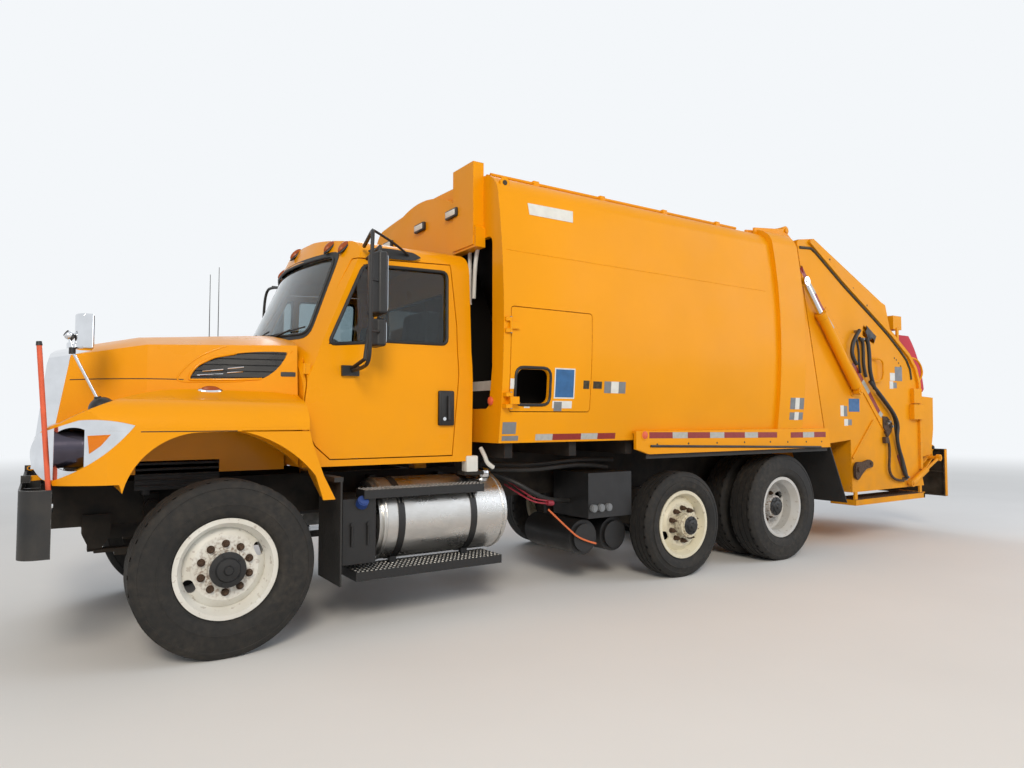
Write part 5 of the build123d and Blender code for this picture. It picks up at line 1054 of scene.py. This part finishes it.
parts = []
for step in (0.0, 0.07):
    foot, _ = seat(HOOD_SKIN, (at(-0.30 + step), -0.83, FAR), (0, 0, -1))
    parts += [rod(foot - Vector((0, 0, 0.004)), foot + Vector((0, 0, 0.03)), 0.016, 0.010),
              rod(foot, Vector((foot.x, foot.y, 2.70 - step)), 0.004, 0.0025, sides=8)]
build("aerials", black_plastic, "hood", *parts)
pair("splash_panel_{}", grained_plastic, "chassis",
     block((-0.050, 0.600, 0.960), (0.447, 0.612, 1.145), 0.003),
     *[rod((-0.046, 0.612, z), (0.443, 0.612, z), 0.009, sides=8)
       for z in (0.985, 1.020, 1.055, 1.090, 1.125)],
     *[block((x, 0.400, 0.930), (x + 0.040, 0.604, 0.972), 0.003) for x in (0.030, 0.360)])
print("mirrors, rod, aerials and splash panels made")

# %% [markdown]
# ## Labels and tape
# The real truck carries plates, stickers and reflective tape. Here they are blank sheets in the same
# places and colours: a label is a thin sheet laid on the bulging side, and a tape is a row of red
# and white pieces. Each finish becomes one piece of the truck.

# %% Labels and tape
THIN, THICK = 0.0016, 0.0026
# name, finish, body, lift, and for each label its front x, rear x, low z and high z
BODY_LABELS = (
    ("door_labels_white", label_white, "access_door", THIN, (
        (-2.340, -2.538, 1.560, 1.795), (-1.935, -1.995, 1.627, 1.702),
        (-2.330, -2.518, 1.457, 1.542), (-2.068, -2.120, 1.486, 1.508))),
    ("door_labels_blue", label_blue, "access_door", THICK, ((-2.350, -2.528, 1.570, 1.785),)),
    ("door_labels_grey", label_grey, "access_door", THICK, ((-2.345, -2.420, 1.464, 1.535),)),
    # a small dark brown patch on the access door
    ("door_scorch", scorched, "access_door", THIN, ((-2.625, -2.685, 1.640, 1.706),)),
    ("body_labels_white", label_white, "chassis", THIN, (
        (-2.915, -2.995, 1.611, 1.705), (-5.305, -5.372, 1.494, 1.607),
        (-5.305, -5.372, 1.387, 1.466))),
    ("body_labels_dark", label_grey, "chassis", THIN, (
        (-2.842, -2.913, 1.611, 1.705), (-2.997, -3.070, 1.611, 1.705),
        (-5.225, -5.303, 1.494, 1.607), (-5.374, -5.445, 1.494, 1.607),
        (-5.228, -5.303, 1.390, 1.463), (-5.374, -5.440, 1.390, 1.463))),
    ("body_labels_grey", label_grey, "chassis", THIN, (
        (-1.890, -2.010, 1.292, 1.380), (-1.892, -2.036, 1.242, 1.278))),
    # a small dark brown patch on the body behind the access door
    ("body_scorch", scorched, "chassis", THIN, ((-2.725, -2.815, 1.644, 1.702),)),
)
GATE_LABELS = (
    ("gate_labels_blue", label_blue, "tailgate", THIN, ((-6.365, -6.568, 1.474, 1.616),)),
    ("gate_labels_white", label_white, "tailgate", THIN, (
        (-6.208, -6.270, 1.425, 1.541), (-6.275, -6.345, 1.322, 1.395),
        (-7.205, -7.310, 1.835, 1.925), (-7.194, -7.270, 1.742, 1.828))),
    ("gate_labels_grey", label_grey, "tailgate", THIN, (
        (-6.272, -6.333, 1.425, 1.535), (-6.347, -6.415, 1.328, 1.390),
        (-7.312, -7.466, 1.835, 2.000), (-7.272, -7.345, 1.750, 1.815))),
)
for tree, labels in ((BODY_SIDE, BODY_LABELS), (GATE_SIDE, GATE_LABELS)):
    for name, finish, body, lift, rows in labels:
        build(name, finish, body, *[patch(tree, *row, lift) for row in rows])

TAPE_LIFT = 0.0014
# name, stops, low z, high z, fall for each metre back, which piece is red
TAPES = (
    ("front_tape", (-2.194, -2.356, -2.636, -2.807, -2.997), 1.240, 1.288, 0.0, 1),
    ("skirt_tape", (-3.330, -3.604, -3.790, -4.077, -4.268, -4.555, -4.745, -5.034),
     1.238, 1.290, 0.012, 0),
    ("hoop_tape", (-5.249, -5.447, -5.633, -5.831), 1.212, 1.266, 0.004, 0),
)
for name, stops, low, high, fall, red in TAPES:
    pieces = []
    for front, back in zip(stops, stops[1:]):
        drop = fall * (stops[0] - front)
        pieces.append(patch(BODY_SIDE, front, back, low - drop, high - drop, TAPE_LIFT,
                            fall * (front - back), (4, 2)))
    pair(name + "_{}_red", tape_red, "chassis", *pieces[red::2])
    pair(name + "_{}_white", tape_white, "chassis", *pieces[1 - red::2])
print("labels and tape laid")

# %% [markdown]
# ## Body seam, side lamps and skirt
# The roof is a second sheet, and its lower edge runs the length of the body as a fine step. Orange
# side lamps, a row of small holes and a rubber strip follow the skirt.

# %% Body seam, side lamps and skirt
SKIRT_HOLES = ((-3.42, 1.186), (-3.80, 1.186), (-4.17, 1.184), (-4.55, 1.182), (-4.93, 1.178),
               (-5.20, 1.172), (-5.50, 1.168), (-5.76, 1.165))
seam = [(-1.90 - 0.15 * step, 2.660 - 0.001 * step) for step in range(21)]
strip = [(-3.34 - 0.30 * step, 1.173 - 0.0079 * step) for step in range(9)]
lamp = on_side(BODY_SIDE, -3.276, 1.266)
pair("roof_seam_{}", body_yellow, "chassis",
     tubes([along(BODY_SIDE, seam, -0.001)], 0.004, smooth=False))
pair("skirt_lamp_{}", marker_orange, "chassis", dome(lamp, OUT, (0.036, 0.036, 0.014)))
pair("skirt_lamp_rim_{}", body_yellow, "chassis",
     rod(lamp - OUT * 0.004, lamp + OUT * 0.005, 0.041, sides=28))
# Each hole is a dark brown disc laid on the sheet: painted shade for the hole's dark inside.
pair("skirt_holes_{}", scorched, "chassis", *[
    rod(hole - OUT * 0.002, hole + OUT * 0.0015, 0.009, sides=10)
    for hole in along(BODY_SIDE, SKIRT_HOLES)])
pair("skirt_strip_{}", seal_rubber, "chassis",
     tubes([along(BODY_SIDE, strip, 0.002)], 0.011, smooth=False))
print("body seam and skirt made")

# %% [markdown]
# ## Headboard lamps, name plate and pipes
# The deep canopy at the front of the body carries a blank white plate on its side, and work lamps in
# black frames look forward over the cab. A lug with an eye stands where a crane hooks on. A pair of
# oil pipes runs back along the roof's edge in clamps, and pale hoses come down behind the cab.

# %% Headboard trim and pipes
HEAD_SKIN = surface("headboard", "body_shell")
NAME_PLATE = ((-2.128, 3.056), (-2.567, 3.060), (-2.555, 2.964), (-2.136, 2.964))
HEAD_LAMPS = ((0.052, 3.062), (0.630, 3.045), (-0.630, 3.045))
FRONT_PIPES = (
    ((-1.850, 0.780, 2.30), (-1.850, 0.775, 2.50), (-1.855, 0.770, 2.65), (-1.860, 0.760, 2.72)),
    ((-1.850, 0.840, 2.34), (-1.850, 0.850, 2.52), (-1.855, 0.865, 2.66), (-1.860, 0.880, 2.72)),
)
PIPE_STEP = 0.48
build("blank_name_plate", label_white, "chassis", draped(surface("body_shell"), NAME_PLATE, 0.004))
frames, glasses = [], []
for y, z in HEAD_LAMPS:
    face, _ = seat(HEAD_SKIN, (at(0.0), y, z), (-1, 0, 0))
    frames.append(block(face - Vector((0.004, 0.092, 0.036)), face + Vector((0.030, 0.092, 0.036)),
                        0.010))
    glasses.append(block(face + Vector((0.024, -0.078, -0.024)), face + Vector((0.034, 0.078, 0.024)),
                         0.006))
build("head_lamp_frames", black_plastic, "chassis", *frames)
build("head_lamp_glasses", label_white, "chassis", *glasses)
lug = on_side(HEAD_SKIN, -1.944, 3.190)
build("lifting_lug", body_yellow, "chassis",
      rod(lug - OUT * 0.004, lug + OUT * 0.014, 0.042, sides=24))
# The lug's eye is a dark brown disc: painted shade for the hole through the lug.
build("lug_eye", scorched, "chassis", rod(lug + OUT * 0.010, lug + OUT * 0.016, 0.020, sides=20))


def roof_height(x, y):
    """Height of the body's roof at a distance from the front axle."""
    return seat(HEAD_SKIN, (at(x), y, 4.5), (0, 0, -1))[0].z


build("roof_pipes", body_yellow, "chassis", tubes([
    [(-1.93 - PIPE_STEP * step, y, roof_height(-1.93 - PIPE_STEP * step, y) + 0.026)
     for step in range(7)] for y in (0.90, 0.955)], 0.014, smooth=False))
clamps = [(x, roof_height(x, 0.93)) for x in (-2.35, -3.05, -3.80, -4.52)]
build("roof_pipe_clamps", body_yellow, "chassis", *[
    block((x - 0.030, 0.870, top - 0.010), (x + 0.030, 0.985, top + 0.044), 0.008)
    for x, top in clamps])
build("front_pipes", label_white, "chassis", tubes(FRONT_PIPES, 0.016))
build("wall_lamp", marker_orange, "chassis",
      dome(spot((-1.862, 1.071, 1.538)), (1, 0, 0), (0.034, 0.034, 0.016)))

ACCESS_PANE = ((-1.981, 1.509), (-2.302, 1.509), (-2.302, 1.789), (-1.981, 1.789))
build("access_rubber", seal_rubber, "access_door", tubes(
    [soft_loop(along(BODY_SIDE, ACCESS_PANE), 0.07)], 0.012, smooth=False, closed=True))
build("hinge_pins", dull_steel, "chassis", *[
    rod((-1.922, 1.262, z - 0.062), (-1.922, 1.262, z + 0.062), 0.009) for z in (1.540, 2.095)])
print("headboard trim and pipes made")

# %% [markdown]
# ## Tailgate: tape, lip, hoses and handles
# The cover bar over the lift cylinder carries the same tape as the skirt, slanted along the bar. A
# folded lip follows the gate's outline; it is coloured dark brown all along as painted shade, for the
# shaded face under the fold. Hoses drop from the hopper's controls, cross the bar and run down to the
# tipper. A bent handle and a loop at the rear give the crew something to hold.

# %% Tailgate tape and lines
BAR_STOPS = (
    ((-5.545, 2.962), (-5.662, 2.837), (-5.790, 2.702), (-5.958, 2.494), (-6.092, 2.352)),
    ((-6.447, 2.010), (-6.625, 1.816), (-6.751, 1.685), (-6.943, 1.470), (-7.004, 1.426)),
    ((-7.330, 0.978), (-7.465, 0.746)),
)
TAPE_HALF = 0.026
bar_tape = ([], [])
for stops in BAR_STOPS:
    for index, (start, end) in enumerate(zip(stops, stops[1:])):
        start, end = Vector(start), Vector(end)
        across = Vector((start.y - end.y, end.x - start.x)).normalized() * TAPE_HALF
        bar_tape[index % 2].append(draped(
            GATE_SIDE, (start + across, end + across, end - across, start - across), 0.0016,
            cuts=1, depth=0.002))
pair("bar_tape_red_{}", tape_red, "tailgate", *bar_tape[0])
pair("bar_tape_white_{}", tape_white, "tailgate", *bar_tape[1])

LIP = ((-5.536, 3.165), (-5.728, 3.180), (-5.800, 3.150), (-6.325, 2.834), (-6.890, 2.524),
       (-7.172, 2.362), (-7.430, 2.190), (-7.560, 2.090), (-7.640, 1.980), (-7.664, 1.860))
HANDLE = ((-6.753, 2.073), (-6.900, 2.075), (-6.975, 2.050), (-6.990, 1.990), (-6.985, 1.890),
          (-6.965, 1.835), (-6.890, 1.808), (-6.757, 1.802))
# The lip tube is dark brown all along: painted shade for the shaded face under the fold.
pair("gate_lip_{}", scorched, "tailgate", tubes([along(GATE_SIDE, LIP, 0.001)], 0.015, smooth=False))
pair("gate_handle_{}", gate_yellow, "tailgate", tubes(
    [along(GATE_SIDE, HANDLE[:1], -0.004) + along(GATE_SIDE, HANDLE[1:-1], 0.045)
     + along(GATE_SIDE, HANDLE[-1:], -0.004)], 0.011))

BAR_FACE = 1.176
# name, radius, height of its middle line off the bar, route
HOSES = (
    ("hose_a", 0.021, 0.051, ((-6.510, 2.366), (-6.420, 2.280), (-6.360, 2.174), (-6.363, 2.057),
                              (-6.440, 1.990))),
    ("hose_b", 0.012, 0.022, ((-6.500, 2.270), (-6.541, 2.157), (-6.535, 2.010), (-6.560, 1.900))),
    ("hose_c", 0.017, 0.027, ((-6.546, 2.285), (-6.606, 2.262), (-6.618, 2.180), (-6.615, 1.960),
                              (-6.660, 1.860))),
    ("hose_d", 0.021, 0.051, ((-6.640, 2.285), (-6.672, 2.255), (-6.695, 2.109), (-6.698, 1.880),
                              (-6.790, 1.730))),
    ("hose_e", 0.020, 0.050, ((-6.700, 1.810), (-6.820, 1.720), (-6.999, 1.590), (-7.180, 1.450),
                              (-7.262, 1.320), (-7.220, 1.190), (-7.260, 1.050), (-7.322, 0.930),
                              (-7.345, 0.790), (-7.430, 0.715))),
    ("hose_f", 0.015, 0.025, ((-6.880, 1.690), (-7.060, 1.560), (-7.235, 1.420), (-7.245, 1.250),
                              (-7.300, 1.080), (-7.400, 0.900), (-7.460, 0.740))),
)
for name, radius, height, route in HOSES:
    build(name, hose_rubber, "tailgate", tubes([[(x, BAR_FACE + height, z) for x, z in route]], radius))
build("tipper_pipe", rusty_steel, "tailgate", tubes([[(x, 1.200, z) for x, z in (
    (-7.030, 1.260), (-7.110, 1.130), (-7.108, 0.960), (-7.086, 0.820), (-7.150, 0.730),
    (-7.273, 0.690), (-7.390, 0.680))]], 0.014))
build("crew_loop", gate_yellow, "tailgate", tubes([[
    (-7.560, 1.150, 2.110), (-7.640, 1.165, 2.122), (-7.820, 1.165, 2.112), (-7.930, 1.165, 2.020),
    (-7.955, 1.160, 1.900), (-7.800, 1.150, 1.780)]], 0.012))
print("tape and hoses", len(HOSES))

# %% [markdown]
# ## Tailgate: brackets, lamps and the worn step
# Greasy brackets hold the bar's ends, fittings join the hoses, and the wall has one service opening,
# shown as a black sheet: painted shade for the opening's dark inside. The lamp boxes get red lenses,
# and the crew's step wears to bare rusty plate on top while its rear edge stays yellow.

# %% Tailgate brackets, lamps and step
OPENING = ((-6.680, 2.368), (-6.745, 2.442), (-6.840, 2.385), (-6.940, 2.329), (-6.891, 2.250),
           (-6.810, 2.303), (-6.741, 2.262))
BRACKET = ((-7.005, 1.425), (-7.110, 1.420), (-7.215, 1.340), (-7.190, 1.245), (-7.120, 1.190),
           (-7.050, 1.260), (-7.010, 1.300))
FITTINGS = ((-7.100, 1.365), (-7.150, 1.310), (-7.060, 1.345), (-6.500, 2.355), (-6.600, 2.275),
            (-6.680, 2.270), (-7.470, 0.720), (-7.420, 0.700))
GATE_HOLES = ((-6.070, 3.104), (-6.500, 2.836), (-6.72, 2.66), (-7.31, 2.10), (-7.35, 2.08),
              (-7.40, 2.045), (-7.44, 2.01))
LATCH = ((-6.400, 0.880), (-6.440, 0.930), (-6.560, 0.925), (-6.680, 0.950), (-6.750, 0.915),
         (-6.740, 0.865), (-6.610, 0.850), (-6.520, 0.790), (-6.450, 0.730), (-6.405, 0.770))
# A black sheet of painted shade where the opening's inside is dark.
build("service_opening", seal_rubber, "tailgate", draped(GATE_SIDE, OPENING, 0.0014, cuts=1))
build("greasy_bracket", rusty_steel, "tailgate",
      draped(GATE_SIDE, BRACKET, 0.012, cuts=1, depth=0.004),
      block((-7.075, 1.174, 1.120), (-7.010, 1.215, 1.190), 0.004))
build("hose_fittings", dull_steel, "tailgate",
      *[rod((x, 1.176, z), (x, 1.218, z), 0.017, sides=6) for x, z in FITTINGS],
      *[rod((x, 1.200, z), (x, 1.228, z), 0.011, sides=12) for x, z in FITTINGS])
# Each hole is a dark brown disc laid on the sheet: painted shade for the hole's dark inside.
build("gate_holes", scorched, "tailgate", *[
    rod(hole - OUT * 0.002, hole + OUT * 0.0016, 0.011, sides=10)
    for hole in along(GATE_SIDE, GATE_HOLES)])
pair("gate_latch_{}", rusty_steel, "tailgate",
     sheet(soft_loop([spot((x, 1.188, z)) for x, z in LATCH], 0.02, 2), (0, 0.028, 0)),
     rod((-6.455, 1.170, 0.850), (-6.455, 1.235, 0.850), 0.028, sides=20),
     rod((-6.700, 1.170, 0.905), (-6.700, 1.228, 0.905), 0.018, sides=6))
pair("rear_lamps_{}", red_lens, "tailgate",
     block((-7.832, 1.082, 1.590), (-7.818, 1.200, 1.738), 0.004),
     block((-7.858, 1.098, 1.402), (-7.844, 1.216, 1.552), 0.004))

BUMP_PITCH = 0.064
bumps = [(-6.502 - BUMP_PITCH * step, y) for step in range(22) for y in (0.93, 0.99, 1.05, 1.11)]
build("worn_step_top", rusty_steel, "tailgate",
      block((-7.898, 0.884, 0.514), (-6.452, 1.178, 0.519), 0.002),
      *[rod((x, y, 0.517), (x, y, 0.523), 0.014, 0.009, sides=8) for x, y in bumps])
build("step_edge", gate_yellow, "tailgate",
      block((-7.904, 0.882, 0.453), (-7.868, 1.182, 0.523), 0.004))
build("tipper_edges", gate_yellow, "cart_tipper",
      block((-8.440, 1.174, 0.445), (-8.392, 1.188, 1.015), 0.003),
      block((-8.440, -1.188, 0.445), (-8.392, -1.174, 1.015), 0.003))
print("brackets, lamps and step made")

# %% [markdown]
# ## Fuel tank, steps and boxes
# The polished tank has a rolled bead near each end, strap bolts and a filler cap. The steps are
# grated so that mud falls through, and the grating is one row of small raised teeth repeated.

# %% Fuel tank and steps
TANK_Y, TANK_Z, TANK_RING = 0.764, 0.695, 0.2885
BEAD_STEPS = 48


def on_tank(x, step):
    """Place on the tank's skin at a step of the turn."""
    angle = 2 * math.pi * step / BEAD_STEPS
    return (x, TANK_Y + TANK_RING * math.cos(angle), TANK_Z + TANK_RING * math.sin(angle))


build("tank_beads", tank_metal, "chassis", *[
    rod(on_tank(x, step), on_tank(x, step + 1), 0.006, sides=6)
    for x in (-1.052, -1.992) for step in range(BEAD_STEPS)])
parts = []
for x in (-1.160, -1.735):
    for bolt in (x - 0.014, x + 0.014):
        parts += [rod((bolt, 0.980, 0.905), (bolt, 1.035, 0.825), 0.006, sides=8),
                  rod((bolt, 1.000, 0.876), (bolt, 1.012, 0.858), 0.011, sides=6)]
    parts.append(block((x - 0.030, 0.975, 0.880), (x + 0.030, 1.000, 0.905), 0.004))
build("strap_bolts", dull_steel, "chassis", *parts)
build("filler_cap", chrome, "chassis",
      rod((-1.930, 0.854, 0.975), (-1.930, 0.862, 1.000), 0.052, sides=24),
      rod((-1.930, 0.862, 1.000), (-1.930, 0.866, 1.014), 0.046, 0.040, sides=24))
build("urea_cap", blue_plastic, "chassis",
      rod((-0.868, 1.035, 0.835), (-0.868, 1.072, 0.862), 0.042, 0.038, sides=24),
      rod((-0.868, 1.072, 0.862), (-0.868, 1.076, 0.865), 0.030, sides=24))
build("urea_box_hooks", black_plastic, "chassis",
      *[rod((x, 1.043, 0.560), (x, 1.050, 0.700), 0.010) for x in (-0.800, -0.915)],
      *[rod((x, 1.030, 0.700), (x, 1.056, 0.700), 0.013) for x in (-0.800, -0.915)])


def teeth(front, back, inner, outer, top, steps, rows):
    """Raised teeth of a grating, in rows along a step."""
    places = [(front + (back - front) * step / (steps - 1), inner + (outer - inner) * row / (rows - 1))
              for row in range(rows) for step in range(steps)]
    return [rod((x, y, top - 0.002), (x, y, top + 0.005), 0.013, 0.008, sides=6) for x, y in places]


upper = teeth(-0.890, -1.780, 0.940, 1.072, 0.930, 30, 4)
lower = teeth(-0.835, -1.930, 0.820, 1.076, 0.395, 36, 6)
build("step_teeth_left", dull_steel, "chassis", *upper, *lower)
build("step_teeth_right", dull_steel, "chassis", *upper, side=-1)
print("tank and steps made")

# %% [markdown]
# ## Hoses, wires and the air tanks' fittings
# Behind the tank the frame is full of hoses and wires. The ones that the eye picks out are a black
# bundle along the rail, red wires to a red bulb, and pale tubes on the valve box.

# %% Frame wiring
build("frame_bundle", hose_rubber, "chassis", tubes((
    ((-2.05, 0.62, 1.04), (-2.30, 0.72, 1.02), (-2.60, 0.80, 1.03), (-2.95, 0.82, 1.06),
     (-3.30, 0.80, 1.04)),
    ((-2.05, 0.66, 1.00), (-2.35, 0.78, 0.98), (-2.62, 0.84, 1.00), (-2.92, 0.85, 1.02),
     (-3.20, 0.84, 0.98)),
    ((-2.10, 0.60, 0.98), (-2.28, 0.76, 0.90), (-2.42, 0.82, 0.80), (-2.62, 0.80, 0.72),
     (-2.86, 0.74, 0.70))), 0.019))
build("red_wires", wire_red, "chassis", tubes((
    ((-2.30, 0.60, 0.90), (-2.36, 0.80, 0.80), (-2.42, 0.88, 0.745), (-2.53, 0.90, 0.735)),
    ((-2.28, 0.62, 0.86), (-2.35, 0.82, 0.76), (-2.44, 0.89, 0.718), (-2.53, 0.90, 0.715))), 0.007))
build("wire_plug", wire_red, "chassis",
      rod((-2.510, 0.900, 0.722), (-2.560, 0.902, 0.716), 0.022, sides=20),
      dome(spot((-2.560, 0.902, 0.716)), (-1, 0, 0), (0.021, 0.021, 0.018)))
build("brake_line", hose_orange, "chassis", tubes((
    ((-2.55, 0.86, 0.66), (-2.70, 0.93, 0.50), (-2.82, 0.95, 0.40), (-2.98, 0.95, 0.355)),), 0.008))
build("pale_elbow", label_white, "chassis", tubes((
    ((-1.880, 0.900, 1.180), (-1.885, 0.950, 1.128), (-1.905, 0.955, 1.060),
     (-1.962, 0.950, 1.034)),), 0.017))
build("valve_caps", label_grey, "chassis",
      *[rod((x, 0.985, 0.660), (x, 1.030, 0.660), 0.032, sides=20) for x in (-2.905, -2.985, -3.065)],
      *[rod((x, 1.028, 0.660), (x, 1.036, 0.660), 0.022, sides=12) for x in (-2.905, -2.985, -3.065)])
build("white_fuse_box", label_white, "chassis",
      block((-1.800, 0.920, 1.010), (-1.700, 1.000, 1.130), 0.010))
build("fuse_box_shelf", chassis_black, "chassis",
      block((-1.860, 0.870, 0.985), (-1.690, 0.985, 1.012), 0.004))
print("wiring made")

# %% [markdown]
# ## Stage and light
# A pale floor, a pale sky and three large soft lamps. The key light stands high behind the camera,
# so the long side is evenly lit and the mirrors throw a shadow. The camera, and the rays that metal
# and glass send out, see a white sky. The light that the sky casts on the paint is weaker, so a
# colour renders about as it is written. The far floor fades into the sky.

# %% Stage and light
FLOOR_SIZE = 120.0
FADE_FROM, FADE_TO = 8.0, 26.0
SKY = shade(244, 247, 250)


def seen_rays(tree):
    """1 for the rays of the camera, of glass and of shiny metal, 0 for the rays that light a surface."""
    rays = add_node(tree, "LightPath").outputs
    seen = combine(tree, "MAXIMUM", rays["Is Camera Ray"], rays["Is Transmission Ray"])
    return combine(tree, "MAXIMUM", seen, rays["Is Glossy Ray"])


bm = bmesh.new()
bmesh.ops.create_grid(bm, x_segments=1, y_segments=1, size=FLOOR_SIZE / 2)
floor_mesh = bpy.data.meshes.new("floor")
bm.to_mesh(floor_mesh)
bm.free()
floor = bpy.data.objects.new("floor", floor_mesh)
bpy.context.scene.collection.objects.link(floor)
floor_material, tree, shader = new_material("floor")
tone = blend_colours(tree, cloud(tree, 0.4, 0.3, 0.7), shade(232, 232, 231), shade(226, 226, 225))
place = add_node(tree, "TexCoord").outputs["Object"]
far = add_node(tree, "VectorMath", {"operation": "LENGTH"}, {0: place}).outputs["Value"]
fade = add_node(tree, "MapRange", {"interpolation_type": "SMOOTHSTEP"}, {
    "Value": far, "From Min": FADE_FROM, "From Max": FADE_TO}).outputs["Result"]
glow = combine(tree, "MULTIPLY", fade, seen_rays(tree))
tree.links.new(blend_colours(tree, glow, tone, (0, 0, 0, 1)), shader.inputs["Base Color"])
tree.links.new(glow, shader.inputs["Emission Strength"])
shader.inputs["Emission Color"].default_value = SKY
shader.inputs["Roughness"].default_value = 1.0
shader.inputs["Specular IOR Level"].default_value = 0.0
floor_mesh.materials.append(floor_material)

WORLD_LIGHT = 0.50
WORLD_SEEN = 1.0
world = bpy.data.worlds.new("world")
world.use_nodes = True
bpy.context.scene.world = world
tree = world.node_tree
background = tree.nodes["Background"]
background.inputs["Color"].default_value = SKY
level = add_node(tree, "MapRange", inputs={
    "Value": seen_rays(tree), "To Min": WORLD_LIGHT, "To Max": WORLD_SEEN}).outputs["Result"]
tree.links.new(level, background.inputs["Strength"])


def add_lamp(name, place, target, size, power, colour):
    """Large square lamp aimed at a point."""
    data = bpy.data.lights.new(name, "AREA")
    data.size = size
    data.energy = power
    data.color = colour[:3]
    lamp = bpy.data.objects.new(name, data)
    lamp.location = place
    lamp.rotation_euler = (Vector(target) - Vector(place)).to_track_quat("-Z", "Y").to_euler()
    bpy.context.scene.collection.objects.link(lamp)


MIDDLE = (0.0, 0.0, 1.6)
add_lamp("key", (9.0, 14.0, 10.0), MIDDLE, 5.0, 1700.0, shade(255, 244, 228))
add_lamp("fill", (-10.0, 9.0, 6.0), MIDDLE, 8.0, 520.0, shade(235, 242, 255))
add_lamp("back", (-4.0, -13.0, 9.0), MIDDLE, 8.0, 700.0, shade(240, 246, 255))
